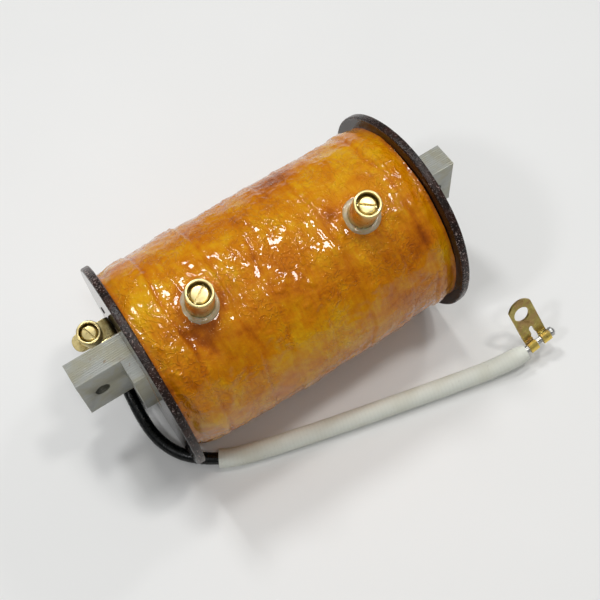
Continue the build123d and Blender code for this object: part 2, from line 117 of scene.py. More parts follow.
LEAD_D = 3.4
SLEEVE_D = 5.3
LEAD_Z = FLOOR_Z + LEAD_D / 2
SLEEVE_Z = FLOOR_Z + SLEEVE_D / 2 + 0.02
FERRULE = Vector((-45.0, 16.4, -11.4))
ROUTE = [
    (FERRULE.x, 16.4, -10.4),
    (FERRULE.x, 16.4, -16.8),
    (-45.6, 13.2, -22.9),
    (-46.4, 7.2, -26.6),
    (-47.0, -0.2, LEAD_Z),
    (-46.6, -7.8, LEAD_Z),
    (-43.9, -14.9, LEAD_Z),
    (-38.8, -20.6, SLEEVE_Z),
    (-31.8, -24.9, SLEEVE_Z),
    (-22.0, -27.9, SLEEVE_Z),
    (-6.0, -32.3, SLEEVE_Z),
    (13.0, -37.0, SLEEVE_Z),
    (33.0, -41.8, SLEEVE_Z),
    (42.5, -44.0, -26.2),
    (49.0, -45.0, -24.9),
]
SLEEVE_MOUTH_X = -35.4
SLEEVE_OVERHANG = 2.6

TAG_EYE = Vector((53.7, -38.3, -15.1))
TAG_TURN = math.radians(0.8)
TAG_RISE = math.radians(11.8)
TAG_BACK = math.radians(31.9)
TAG_LEFT = -3.1  # the tag's sides from the eye's centre
TAG_RIGHT = 4.0
TAG_T = 0.8
TAG_HOLE_R = 2.3
TAG_CRIMP_W = 2.6
TAG_WIRE_Q = -10.5  # strands below the eye's centre, along the tag
TAG_WIRE_N = 1.4  # strands in front of the tag's middle


# ---------------------------------------------------------------- what a user may change
class CoilSizes(bpy.types.PropertyGroup):
    wrinkle: FloatProperty(
        name="Wrinkles", description="Height of the varnish wrinkles on the tape, in millimetres",
        default=0.32, min=0.0, max=0.6,
    )
    warp: FloatProperty(
        name="Flange warp", description="How far the right flange's rim wanders, in millimetres",
        default=0.35, min=0.0, max=0.8,
    )
    braid: FloatProperty(
        name="Braid relief", description="Height of the woven sleeve's threads, in millimetres",
        default=0.022, min=0.0, max=0.2,
    )


def colour(label, text, default):
    return FloatVectorProperty(
        name=label, description=text, default=default, size=3, min=0.0, max=1.0, subtype="COLOR",
    )


class CoilColours(bpy.types.PropertyGroup):
    tape_pale: colour("Thin varnish", "Tape where the varnish is thin", (0.68, 0.34, 0.004))
    tape: colour("Varnish", "Tape under an even coat of varnish", (0.60, 0.215, 0.001))
    # the pooled and burnt varnish colours also paint shade in the grooves beside the laps
    tape_deep: colour("Pooled varnish", "Tape where the varnish has pooled", (0.36, 0.085, 0.001))
    tape_dark: colour("Burnt varnish", "Varnish in the deepest corners", (0.20, 0.040, 0.001))
    fibre: colour("Fibre", "Flanges of dark varnished fibre", (0.010, 0.006, 0.005))
    steel: colour("Steel", "Laminated core", (0.40, 0.40, 0.36))
    brass: colour("Brass", "Turned brass of the posts", (0.76, 0.63, 0.30))
    sleeve: colour("Sleeve", "Woven glass sleeve", (0.78, 0.80, 0.72))


# ---------------------------------------------------------------- shader writing
class Value:
    """A number in a material: Python's operators on it add Math nodes."""

    def __init__(self, shader, socket):
        self.shader = shader
        self.socket = socket

    def do(self, operation, *others):
        inputs = dict(enumerate((self,) + others))
        return self.shader.value("ShaderNodeMath", {"operation": operation}, inputs)

    def __add__(self, other):
        return self.do("ADD", other)

    def __sub__(self, other):
        return self.do("SUBTRACT", other)

    def __rsub__(self, other):
        return (self * -1.0) + other

    def __mul__(self, other):
        return self.do("MULTIPLY", other)

    def __pow__(self, other):
        return self.do("POWER", other)

    __radd__ = __add__
    __rmul__ = __mul__


class Shader:
    """One material and short ways to write its nodes; positions are in millimetres."""

    def __init__(self, name):
        self.material = bpy.data.materials.new(name)
        self.material.use_nodes = True
        self.nodes = self.material.node_tree.nodes
        self.links = self.material.node_tree.links
        self.nodes.clear()
        self.output = self.nodes.new("ShaderNodeOutputMaterial")

    def node(self, kind, settings=None, inputs=None):
        node = self.nodes.new(kind)
        for key, setting in (settings or {}).items():
            if key == "stops":
                ramp = node.color_ramp
                while len(ramp.elements) < len(setting):
                    ramp.elements.new(0.5)
                for element, (place, rgb) in zip(ramp.elements, setting):
                    element.position = place
                    element.color = (*rgb, 1.0)
            else:
                setattr(node, key, setting)
        for key, given in (inputs or {}).items():
            socket = given.socket if isinstance(given, Value) else given
            if isinstance(socket, bpy.types.NodeSocket):
                self.links.new(socket, node.inputs[key])
            else:
                node.inputs[key].default_value = socket
        return node

    def value(self, kind, settings=None, inputs=None, output=0):
        return Value(self, self.node(kind, settings, inputs).outputs[output])

    def place(self, scale=(1.0, 1.0, 1.0)):
        """Object coordinates in millimetres, stretched by scale."""
        spot = self.node("ShaderNodeTexCoord").outputs["Object"]
        inputs = {"Vector": spot, "Scale": tuple(s / MM for s in scale)}
        return self.node("ShaderNodeMapping", {}, inputs).outputs[0]

    def noise(self, vector, scale, detail=2.0, roughness=0.5, distortion=0.0):
        inputs = {
            "Vector": vector, "Scale": scale, "Detail": detail, "Roughness": roughness,
            "Distortion": distortion,
        }
        return self.value("ShaderNodeTexNoise", {}, inputs)

    def span(self, value, low, high, to_low=0.0, to_high=1.0):
        """Stretch low..high to to_low..to_high, smoothly and clamped."""
        inputs = {"Value": value, 1: low, 2: high, 3: to_low, 4: to_high}
        return self.value("ShaderNodeMapRange", {"interpolation_type": "SMOOTHSTEP"}, inputs)

    def ramp(self, value, stops):
        return self.node("ShaderNodeValToRGB", {"stops": stops}, {0: value}).outputs[0]

    def mix(self, factor, first, second):
        """Colours, mixed; a plain tuple is a colour."""
        pair = [(*c, 1.0) if isinstance(c, tuple) else c for c in (first, second)]
        inputs = {0: factor, 6: pair[0], 7: pair[1]}
        return self.node("ShaderNodeMix", {"data_type": "RGBA"}, inputs).outputs[2]

    def attribute(self, name):
        return self.value("ShaderNodeAttribute", {"attribute_name": name}, {}, "Fac")

    def axis(self, vector, name):
        return self.value("ShaderNodeSeparateXYZ", {}, {0: vector}, name)

    def bump(self, height):
        """A height in millimetres."""
        inputs = {"Height": height, "Distance": MM, "Strength": 1.0}
        return self.node("ShaderNodeBump", {}, inputs).outputs[0]

    def finish(self, **sockets):
        """Principled BSDF; names are its sockets with underscores for spaces."""
        inputs = {key.replace("_", " "): item for key, item in sockets.items()}
        for key, item in inputs.items():
            if isinstance(item, tuple) and len(item) == 3:
                inputs[key] = (*item, 1.0)
        surface = self.node("ShaderNodeBsdfPrincipled", {}, inputs)
        self.links.new(surface.outputs[0], self.output.inputs["Surface"])
        return self.material


def times(rgb, factor):
    return tuple(min(1.0, c * factor) for c in rgb)


# ---------------------------------------------------------------- materials
def varnished_tape(colours):
    """Cotton tape soaked in amber varnish: thin coats are yellow, pools orange to brown; the same
    dark colours paint shade in the grooves beside the laps.
    """
    s = Shader("varnished_tape")
    spot = s.place()
    around = s.place(scale=(1.6, 0.22, 0.22))
    deep = s.attribute("deep")
    clouds = s.noise(spot, 0.16, 4.0, 0.62, 0.6) - 0.5
    mottle = s.noise(spot, 0.75, 3.0, 0.6) - 0.5
    streaks = s.noise(around, 0.8, 3.0, 0.6) - 0.5
    darkness = deep * 0.36 + clouds * 0.85 + mottle * 0.26 + streaks * 0.34 + 0.38
    specks = s.span(s.noise(spot, 3.4, 2.0, 0.6), 0.66, 0.74)
    darkness = darkness - specks * 0.22
    tint = s.ramp(darkness, [
        (0.14, tuple(colours.tape_pale)),
        (0.36, tuple(colours.tape)),
        (0.54, (0.52, 0.150, 0.001)),
        (0.74, tuple(colours.tape_deep)),
        (1.0, tuple(colours.tape_dark)),
    ])

    x = s.axis(spot, "X")
    arc = s.axis(spot, "Y").do("ARCTAN2", s.axis(spot, "Z")) * TAPE_R
    weave = (x * (TAU / 0.52)).do("SINE") * (arc * (TAU / 0.6)).do("SINE")
    crease = s.noise(spot, 0.62, 1.0, 0.5, 0.5) - 0.5
    crease = 1.0 - crease.do("ABSOLUTE") * 7.0
    crease = crease.do("MAXIMUM", 0.0) ** 2.0
    patch = s.span(s.noise(spot, 0.13, 1.0), 0.40, 0.58)
    skin = s.noise(spot, 1.5, 3.0, 0.55)
    height = weave * 0.004 * (1.2 - patch) + crease * (patch * 0.13 + 0.02) + skin * 0.14
    rough = s.span(s.noise(spot, 0.9, 2.0), 0.3, 0.7, 0.07, 0.12)
    return s.finish(
        Base_Color=tint, Roughness=rough, IOR=1.20, Specular_Tint=(1.0, 0.8, 0.4), Coat_Weight=0.6,
        Coat_Roughness=0.03, Coat_IOR=1.45, Normal=s.bump(height),
    )


def flange_fibre(colours):
    """Dark vulcanised fibre: glossy faces and a rough rim, speckled with exposed fibre and painted
    glints.
    """
    s = Shader("flange_fibre")
    spot = s.place()
    y, z = s.axis(spot, "Y"), s.axis(spot, "Z")
    radius = (y * y + z * z) ** 0.5
    rim = s.span(radius, FLANGE_R - 0.9, FLANGE_R - 0.2)
    patches = s.span(s.noise(spot, 0.06, 2.0), 0.42, 0.58)
    speck = s.span(s.noise(spot, 1.9, 3.0, 0.75, 0.5), 0.57, 0.63)
    clouds = s.noise(spot, 0.35, 3.0)
    base = s.mix(clouds, tuple(colours.fibre), times(colours.fibre, 2.2))
    brown = s.mix(rim * s.span(clouds, 0.40, 0.65) * 0.6, base, (0.035, 0.009, 0.004))
    # pale specks on the rim: partly exposed fibre, partly painted glints of the varnish
    worn = s.mix(rim * speck * (patches * 0.75 + 0.25), brown, (0.60, 0.46, 0.42))
    fibres = s.noise(s.place(scale=(2.5, 0.5, 0.5)), 1.2, 4.0, 0.6)
    height = (fibres * 0.10 + speck * 0.12 + s.noise(spot, 1.2, 2.0) * 0.14) * rim
    rough = rim * s.span(clouds, 0.3, 0.7, 0.10, 0.2) + 0.09
    return s.finish(Base_Color=worn, Roughness=rough, IOR=1.35, Normal=s.bump(height))


def core_steel(colours):
    """Stacked steel sheets under a thin, blotchy lacquer."""
    s = Shader("core_steel")
    spot = s.place()
    steel = tuple(colours.steel)
    sheets = s.noise(s.place(scale=(0.02, 1.7, 0.02)), 1.0, 0.0)
    brushed = s.noise(s.place(scale=(0.12, 3.0, 3.0)), 1.4, 3.0, 0.65)
    lacquer = s.noise(spot, 0.19, 3.0, 0.6, 0.4)
    tint = s.mix(s.span(sheets, 0.3, 0.7), times(steel, 0.95), times(steel, 1.03))
    tint = s.mix(s.span(lacquer, 0.40, 0.64) * 0.65, tint, (0.37, 0.35, 0.24))
    tint = s.mix(s.span(lacquer, 0.52, 0.38) * 0.35, tint, (0.41, 0.43, 0.42))
    stains = s.span(s.noise(spot, 0.33, 2.0, 0.5, 0.8), 0.66, 0.76)
    tint = s.mix(stains * 0.75, tint, (0.22, 0.13, 0.045))
    tint = s.mix(s.span(brushed, 0.35, 0.75) * 0.15, tint, times(steel, 0.5))
    fleck = s.span(s.noise(spot, 2.4, 2.0, 0.7), 0.70, 0.76)
    tint = s.mix(fleck * 0.6, tint, (0.78, 0.76, 0.68))
    rough = s.span(brushed, 0.3, 0.7, 0.34, 0.54)
    height = brushed * 0.01 + fleck * 0.03 + s.noise(spot, 0.4) * 0.04
    return s.finish(Base_Color=tint, Roughness=rough, Metallic=0.65, IOR=1.5, Normal=s.bump(height))


def turned_brass(colours, name, shade=1.0, tarnish=0.35):
    """Bright brass with fine turning marks and darker tarnish in patches."""
    s = Shader(name)
    spot = s.place()
    brass = times(colours.brass, shade)
    clouds = s.noise(spot, 0.7, 3.0, 0.6)
    tint = s.mix(s.span(clouds, 0.42, 0.72) * tarnish, brass, (0.30, 0.20, 0.055))
    marks = s.noise(s.place(scale=(0.25, 0.25, 5.0)), 2.2, 2.0)
    tint = s.mix(s.span(marks, 0.4, 0.7) * 0.25, tint, times(brass, 0.6))
    rough = s.span(clouds, 0.3, 0.7, 0.26, 0.40)
    height = marks * 0.012 + s.noise(spot, 3.0, 2.0) * 0.012
    return s.finish(Base_Color=tint, Roughness=rough, Metallic=1.0, Normal=s.bump(height))


def collar_resin():
    """Milky insulating collar, tinted amber where varnish has crept up."""
    s = Shader("collar_resin")
    spot = s.place()
    clouds = s.noise(spot, 0.6, 3.0)
    tint = s.mix(s.span(clouds, 0.38, 0.66) * 0.75, (0.50, 0.42, 0.29), (0.42, 0.27, 0.10))
    height = s.noise(spot, 1.6, 3.0) * 0.06
    return s.finish(
        Base_Color=tint, Roughness=0.32, IOR=1.5, Subsurface_Weight=0.3, Subsurface_Scale=0.0012,
        Coat_Weight=0.4, Coat_Roughness=0.1, Normal=s.bump(height),
    )


def lead_insulation():
    """Black satin insulation with faint scuffs."""
    s = Shader("lead_insulation")
    spot = s.place()
    scuffs = s.span(s.noise(spot, 1.1, 4.0, 0.7), 0.55, 0.75)
    tint = s.mix(scuffs * 0.4, (0.0015, 0.0025, 0.0025), (0.010, 0.013, 0.012))
    rough = s.span(s.noise(spot, 0.7, 3.0), 0.3, 0.7, 0.20, 0.34)
    height = s.noise(spot, 2.5, 3.0) * 0.02
    return s.finish(Base_Color=tint, Roughness=rough, IOR=1.38, Normal=s.bump(height))


def woven_sleeve(colours):
    """Braided glass fibre: the relief is in the mesh, and painted shade follows it, lighter on
    raised threads and darker between them.
    """
    s = Shader("woven_sleeve")
    spot = s.place()
    thread = s.attribute("thread")
    sleeve = tuple(colours.sleeve)
    tint = s.mix(thread, times(sleeve, 0.94), times(sleeve, 1.06))
    tint = s.mix(s.span(s.noise(spot, 0.11, 2.0), 0.4, 0.7) * 0.3, tint, (0.56, 0.54, 0.40))
    grime = s.span(s.noise(spot, 1.2, 4.0, 0.7), 0.58, 0.8)
    tint = s.mix(grime * 0.35, tint, (0.34, 0.33, 0.27))
    height = s.noise(spot, 4.0, 2.0) * 0.03
    return s.finish(
        Base_Color=tint, Roughness=0.58, IOR=1.45, Sheen_Weight=0.15, Normal=s.bump(height),
    )


def tinned_wire():
    """Strands soaked in dull solder."""
    s = Shader("tinned_wire")
    spot = s.place()
    clouds = s.noise(spot, 1.0, 3.0)
    tint = s.mix(clouds, (0.62, 0.62, 0.60), (0.34, 0.34, 0.34))
    rough = s.span(clouds, 0.3, 0.7, 0.22, 0.42)
    height = s.noise(spot, 2.0, 2.0) * 0.05
    return s.finish(Base_Color=tint, Roughness=rough, Metallic=1.0, Normal=s.bump(height))


def tag_brass():
    """Stamped brass gone olive and brown, with a painted highlight on the crimps' front faces."""
    s = Shader("tag_brass")
    spot = s.place()
    bright = s.attribute("bright")
    clouds = s.noise(spot, 0.32, 4.0, 0.6, 0.4)
    tint = s.ramp(clouds, [
        (0.30, (0.66, 0.56, 0.20)),
        (0.48, (0.48, 0.38, 0.11)),
        (0.58, (0.52, 0.34, 0.14)),
        (0.72, (0.27, 0.17, 0.04)),
    ])
    # painted highlight on the front faces of the crimps
    tint = s.mix(bright, tint, (0.92, 0.68, 0.16))
    specks = s.span(s.noise(spot, 2.2, 3.0, 0.7), 0.60, 0.70)
    tint = s.mix(specks * 0.5, tint, (0.16, 0.11, 0.03))
    rough = s.span(s.noise(spot, 0.8, 3.0), 0.3, 0.7, 0.26, 0.46)
    height = s.noise(s.place(scale=(3.0, 0.4, 0.4)), 1.5, 3.0) * 0.02 + specks * 0.02
    return s.finish(Base_Color=tint, Roughness=rough, Metallic=0.9, Normal=s.bump(height))


def hidden_material(name, tint, rough, metallic, stretch, grain, relief):
    """A simple two-tone finish for pieces inside the coil; stretch gives its grain a direction."""
    s = Shader(name)
    fine = s.noise(s.place(scale=stretch), grain, 3.0, 0.6)
    broad = s.noise(s.place(), 0.25, 2.0)
    shade = s.mix(fine, times(tint, 0.65), times(tint, 1.25))
    shade = s.mix(s.span(broad, 0.4, 0.7) * 0.4, shade, times(tint, 0.5))
    worn = s.span(fine, 0.3, 0.7, max(0.05, rough - 0.1), rough + 0.1)
    normal = s.bump(fine * relief)
    return s.finish(Base_Color=shade, Roughness=worn, Metallic=metallic, Normal=normal)


# name: (colour, roughness, metallic, stretch, grain per millimetre, relief, nodes)
HIDDEN_FINISHES = {
    "pressboard": ((0.36, 0.22, 0.11), 0.7, 0.0, (0.4, 1, 1), 1.6, 0.03,
                   ("former_tube", "margin_ring_left", "margin_ring_right", "section_divider",
                    "core_packing_strip")),
    "winding_wire": ((0.50, 0.16, 0.05), 0.3, 0.8, (4, 0.05, 0.05), 2.0, 0.03,
                     ("primary_winding", "secondary_winding_left", "secondary_winding_right",
                      "section_link")),
    "enamelled_wire": ((0.33, 0.09, 0.03), 0.25, 0.6, (1, 1, 1), 1.0, 0.01,
                       ("primary_start_wire", "secondary_lead_left", "secondary_lead_right")),
    "varnished_cloth": ((0.36, 0.20, 0.03), 0.4, 0.0, (1.5, 1.5, 1.5), 2.0, 0.04,
                        ("primary_insulation", "inner_insulation_wrap")),
    "bush_fibre": ((0.10, 0.045, 0.02), 0.5, 0.0, (1, 1, 1), 1.5, 0.03, ("flange_bush",)),
    "contact_brass": ((0.62, 0.42, 0.13), 0.35, 1.0, (1, 1, 1), 1.2, 0.02,
                      ("contact_plate_left", "contact_plate_right")),
    "rivet_steel": ((0.45, 0.45, 0.43), 0.4, 0.9, (1, 1, 1), 1.2, 0.02, ("core_rivets",)),
}


# ---------------------------------------------------------------- mesh helpers
def smooth_step(low, high, value):
    t = min(max((value - low) / (high - low), 0.0), 1.0)
    return t * t * (3.0 - 2.0 * t)


def bell(distance, width):
    return math.exp(-((distance / width) ** 2))


def arc(centre, radius, start, end, count):
    """Points on an arc in a plane, angles in degrees."""
    turns = [math.radians(start + (end - start) * i / count) for i in range(count + 1)]
    return [(centre[0] + radius * math.cos(a), centre[1] + radius * math.sin(a)) for a in turns]


def draw(bm, points, closed=True):
    """Vertices joined in order by edges."""
    verts = [bm.verts.new(p) for p in points]
    ends = verts[1:] + verts[:1] if closed else verts[1:]
    return verts, [bm.edges.new(pair) for pair in zip(verts, ends)]


def settle(bm):
    """Merge doubles and point every face outwards."""
    bmesh.ops.remove_doubles(bm, verts=bm.verts, dist=1e-4)
    bmesh.ops.recalc_face_normals(bm, faces=bm.faces)
    return bm


def turned(outline, steps=96, closed=True, along="Z"):
    """A solid of revolution from (radius, height) points."""
    bm = bmesh.new()
    points = [(r, 0.0, h) if along == "Z" else (h, 0.0, r) for r, h in outline]
    verts, edges = draw(bm, points, closed)
    axis = (0, 0, 1) if along == "Z" else (1, 0, 0)
    bmesh.ops.spin(
        bm, geom=verts + edges, cent=(0, 0, 0), axis=axis, dvec=(0, 0, 0), angle=TAU,
        steps=steps, use_merge=True, use_normal_flip=False, use_duplicate=False,
    )
    return settle(bm)


def sweep(bm, made, vector):
    """Move what an extrusion made."""
    moved = [item for item in made["geom"] if isinstance(item, bmesh.types.BMVert)]
    bmesh.ops.translate(bm, vec=vector, verts=moved)


def thicken(bm, vector):
    """Extrude every face of a flat sheet along a vector."""
    sweep(bm, bmesh.ops.extrude_face_region(bm, geom=bm.faces[:]), vector)
    return settle(bm)


def ribbon(points, vector):
    """A strip of faces: an open line swept along a vector."""
    bm = bmesh.new()
    edges = draw(bm, points, closed=False)[1]
    sweep(bm, bmesh.ops.extrude_edge_only(bm, edges=edges), vector)
    return bm


def give_thickness(bm, thickness):
    """Turn a strip into a closed plate."""
    bmesh.ops.recalc_face_normals(bm, faces=bm.faces)
    bmesh.ops.solidify(bm, geom=bm.faces[:], thickness=thickness)
    bmesh.ops.recalc_face_normals(bm, faces=bm.faces)


def absorb(bm, part):
    """Move a bmesh into another; returns the vertices it brings."""
    mesh = bpy.data.meshes.new("part")
    part.to_mesh(mesh)
    part.free()
    known = set(bm.verts)
    bm.from_mesh(mesh)
    bpy.data.meshes.remove(mesh)
    return [vert for vert in bm.verts if vert not in known]


def round_off(bm, geom, width, segments, affect):
    """Bevel chosen edges or vertices."""
    bmesh.ops.bevel(
        bm, geom=geom, offset=width, offset_type="OFFSET", segments=segments, profile=0.5,
        affect=affect, clamp_overlap=True, material=-1,
    )


def carve(bm, tool):
    """Take the tool's shape out of a bmesh and return what is left."""
    pair = []
    for shape in (bm, tool):
        mesh = bpy.data.meshes.new("carving")
        shape.to_mesh(mesh)
        shape.free()
        pair.append(bpy.data.objects.new("carving", mesh))
        bpy.context.scene.collection.objects.link(pair[-1])
    boolean = pair[0].modifiers.new("carve", "BOOLEAN")
    boolean.object = pair[1]
    boolean.operation = "DIFFERENCE"
    boolean.solver = "EXACT"
    left = bmesh.new()
    left.from_object(pair[0], bpy.context.evaluated_depsgraph_get())
    for item in pair:
        mesh = item.data
        bpy.data.objects.remove(item)
        bpy.data.meshes.remove(mesh)
    return left


def block(low, high):
    """A box between two corners."""
    low, high = Vector(low), Vector(high)
    bm = bmesh.new()
    size = high - low
    matrix = Matrix.Translation((low + high) / 2) @ Matrix.Diagonal((*size, 1.0))
    bmesh.ops.create_cube(bm, size=1.0, matrix=matrix)
    return bm


def add_piece(name, bm, material, replaces, body="coil", place=None, bevel=0.0, sharp=40.0):
    """Finish a bmesh in millimetres as a piece that rides on a body and stands for frame nodes."""
    matrix = Matrix.Scale(MM, 4) @ (place or Matrix())
    bmesh.ops.transform(bm, matrix=matrix, verts=bm.verts)
    mesh = bpy.data.meshes.new(name)
    bm.to_mesh(mesh)
    bm.free()
    mesh.materials.append(material)
    mesh.polygons.foreach_set("use_smooth", [True] * len(mesh.polygons))
    mesh.set_sharp_from_angle(angle=math.radians(sharp))
    piece = bpy.data.objects.new(name, mesh)
    bpy.context.scene.collection.objects.link(piece)
    if bevel:
        rounding = piece.modifiers.new("edges", "BEVEL")
        rounding.width = bevel * MM
        rounding.segments = 3
        rounding.limit_method = "ANGLE"
        rounding.angle_limit = math.radians(40.0)
        rounding.harden_normals = True
    return claim(piece, replaces, body)


def claim(piece, replaces, body):
    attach(piece, body)
    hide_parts(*replaces)
    return piece


def coat(nodes, material):
    """Give frame nodes a material."""
    for name in nodes:
        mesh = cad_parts[name].data
        mesh.materials.clear()
        mesh.materials.append(material)


# ---------------------------------------------------------------- outer tape
TAPE_STEPS = 400  # round the winding
TAPE_CUTS = 196  # along it
TAPE_END_DROP = 0.75
DEGREE_MM = math.radians(1.0) * TAPE_R  # one degree round the tape

# x, slant, height and proud side of each lap, where one turn of tape ends over the next
LAPS = (
    (-30.5, 0.0, 0.42, -1),
    (-24.2, 1.2, 0.12, 1),
    (-16.5, -0.6, 0.32, -1),
    (-5.0, -4.0, 0.24, 1),
    (4.4, -2.6, 0.18, -1),
    (13.1, 0.0, 0.24, 1),
    (23.4, 2.5, 0.16, -1),
    (33.2, 0.8, 0.36, 1),
)
# from (x, degrees) to (x, degrees), height and width of folds in the tape
FOLDS = (
    ((-22.0, 30), (-29.0, 78), 0.34, 1.1),
    ((-29.5, 24), (-22.5, 47), -0.30, 1.4),
    ((13.3, -4), (12.6, 46), 0.26, 0.7),
    ((34.4, -18), (31.6, 34), 0.24, 0.7),
    ((-17.5, -6), (-15.6, 30), 0.22, 0.6),
    ((-12.0, 14), (-16.0, 60), 0.16, 0.9),
    ((28.0, 58), (36.0, 76), 0.34, 1.8),
    ((19.0, 64), (29.0, 92), -0.26, 2.2),
    ((-38.0, 40), (-33.0, 84), 0.20, 1.2),
)
# x, degrees, radius and depth of the varnish's pools; below zero it is thin and yellow
POOLS = (
    (-24.8, 27, 4.5, 0.75), (-22.4, 12, 4.0, 0.55), (-10.3, -31, 6.0, 0.45), (11.0, -41, 7.5, 0.85),
    (-1.2, 24, 7.0, 0.65), (-16.0, 40, 5.0, 0.5), (15.6, 8, 2.0, 1.0), (26.0, 44, 6.0, 0.45),
    (32.5, 47, 4.0, 0.7), (-33.5, 50, 6.0, 0.5), (8.0, 42, 5.0, 0.4), (27.0, -2, 3.0, 0.4),
    (-35.0, 2, 5.5, -0.45), (-9.0, 62, 8.0, -0.35), (-29.0, 66, 7.0, -0.35),
    (28.0, -22, 10.0, -0.4), (4.0, 66, 9.0, -0.3), (20.0, 32, 5.0, -0.3), (37.5, 60, 5.0, -0.5),
    (-14.0, 0, 5.0, -0.2),
)
# x, degrees and radius of the places where the varnish film is crinkled
CRINKLES = (
    (-10.0, -4, 3.2), (3.0, -5, 3.6), (11.0, -12, 3.2), (-4.5, 27, 2.6), (-13.0, 25, 3.0),
    (31.0, 27, 3.0), (35.0, 26, 2.4), (31.0, -10, 3.2), (-33.5, 2, 4.0), (-35.5, 20, 4.5),
    (-36.0, 38, 3.5), (-32.0, -18, 3.0), (15.0, 1, 3.0), (6.0, 10, 2.6), (15.0, 10, 2.4),
    (24.0, -20, 4.0), (-3.0, -16, 3.5), (-12.0, 10, 2.5),
)


def post_distance(x, y, z):
    """Distance from the nearer post's axis, for points on the upper side."""
    if z < 0.0:
        return 2 * TAPE_R
    post_x, degrees = POSTS["left" if x < 0.0 else "right"]
    lean = math.radians(degrees)
    return math.hypot(x - post_x, y * math.cos(lean) + z * math.sin(lean))


def fold_height(x, degrees):
    """How far the folds lift the tape."""
    total = 0.0
    for (x0, a0), (x1, a1), height, width in FOLDS:
        run = Vector((x1 - x0, (a1 - a0) * DEGREE_MM))
        step = Vector((x - x0, (degrees - a0) * DEGREE_MM))
        share = step.dot(run) / run.length_squared
        if -0.2 < share < 1.2:
            ends = smooth_step(-0.2, 0.15, share) * (1.0 - smooth_step(0.85, 1.2, share))
            total += height * ends * bell((step - run * share).length, width)
    return total


def tape_surface(x, angle, wrinkle):
    """Radius of the tape and how dark its varnish is drawn, at x and an angle from top to front:
    pooled varnish plus painted shade in the laps' grooves.
    """
    y, z = -TAPE_R * math.sin(angle), TAPE_R * math.cos(angle)
    degrees = math.degrees(angle)
    spot = Vector((x, y, z))
    lumps = noise.noise(spot * 0.11) * 0.42 + noise.noise(spot * 0.31 + Vector((5, 0, 0))) * 0.16
    deep = -lumps * 0.5
    height = lumps

    # laps, folds and pools
    for x0, slant, rise, side in LAPS:
        wander = noise.noise(spot * 0.09 + Vector((x0, 0, 0))) * 1.3
        away = (x - x0 - slant * math.sin(angle) - wander) * side
        if away > -1.5:
            height += rise * smooth_step(-0.28, 0.28, away) * math.exp(-max(away, 0.0) / 4.5)
        height -= 0.45 * rise * bell(away + 0.5, 0.45)
        # the groove beside each lap is darkened: painted shade
        strength = 0.8 + 2.0 * noise.noise(spot * 0.22 + Vector((0, x0, 0)))
        deep += rise * strength * bell(away + 0.55, 0.6)
    folds = fold_height(x, degrees)
    height += folds
    deep -= min(folds, 0.0) * 2.0
    for px, pa, radius, amount in POOLS:
        spread = math.hypot(x - px, (degrees - pa) * DEGREE_MM)
        if spread < 2.2 * radius:
            deep += amount * bell(spread, radius)

    # the varnish film's wrinkles: thin crooked ridges in patches
    patch = 0.22 + 0.5 * smooth_step(0.0, 0.4, noise.noise(spot * 0.14 + Vector((0, 9, 0))))
    for px, pa, radius in CRINKLES:
        spread = math.hypot(x - px, (degrees - pa) * DEGREE_MM)
        if spread < 2.5 * radius:
            patch = max(patch, 1.3 * bell(spread, radius))
    shift = noise.noise_vector(spot * 0.35) * 0.55
    ridge = abs(noise.noise(Vector((x * 0.36, y * 0.30, z * 0.30)) + shift))
    height += 1.2 * wrinkle * patch * (1.0 - ridge) ** 6
    fine = abs(noise.noise(spot * 0.62 + Vector((3, 3, 3))))
    height += 0.55 * wrinkle * patch * (1.0 - fine) ** 7

    # the winding is fuller in the middle of its lower front, and slimmer next to the left flange
    low_front = bell(degrees - 98.0, 38.0)
    height += low_front * (0.9 * bell(x - 3.0, 22.0) - 1.6 * bell(x + 41.0, 9.0))

    # it drops at its ends, with a bead of varnish against flanges and collars
    end = FLANGE_IN - abs(x)
    height -= TAPE_END_DROP * (1.0 - smooth_step(0.0, 4.5, end))
    height += 0.35 * bell(end, 0.7)
    deep += 0.8 * bell(end, 0.8)
    reach = post_distance(x, y, z) - COLLAR_R
    height += 0.2 * bell(max(reach, 0.0), 1.0) if reach > -0.8 else 0.0
    deep += 0.45 * bell(reach - 0.4, 0.9)
    return max(TAPE_R + height, TAPE_IN_R + 0.12), deep


class WindTape(bpy.types.Operator):
    """Wind the varnished outer tape between the flanges"""

    bl_idname = "coil.wind_tape"
    bl_label = "Outer tape"

    def execute(self, context):
        noise.seed_set(SEED)
        end = FLANGE_IN - 0.03
        ring = turned([(TAPE_IN_R, -end), (TAPE_R, -end), (TAPE_R, end), (TAPE_IN_R, end)],
                      steps=TAPE_STEPS, along="X")
        long_edges = [e for e in ring.edges
                      if min(math.hypot(v.co.y, v.co.z) for v in e.verts) > TAPE_R - 0.01
                      and abs(e.verts[0].co.x - e.verts[1].co.x) > end]
        bmesh.ops.subdivide_edges(ring, edges=long_edges, cuts=TAPE_CUTS, use_grid_fill=True)
        darkness = ring.verts.layers.float.new("deep")
        wrinkle = context.scene.coil_sizes.wrinkle
        for vert in ring.verts:
            x, y, z = vert.co
            if math.hypot(y, z) < TAPE_R - 0.01:
                continue
            angle = math.atan2(-y, z)
            radius, deep = tape_surface(x, angle, wrinkle)
            vert.co = (x, -radius * math.sin(angle), radius * math.cos(angle))
            vert[darkness] = deep
        add_piece("wound_tape", ring, varnished_tape(context.scene.coil_colours),
                  ["outer_tape_wrap"], sharp=60.0)
        return {"FINISHED"}


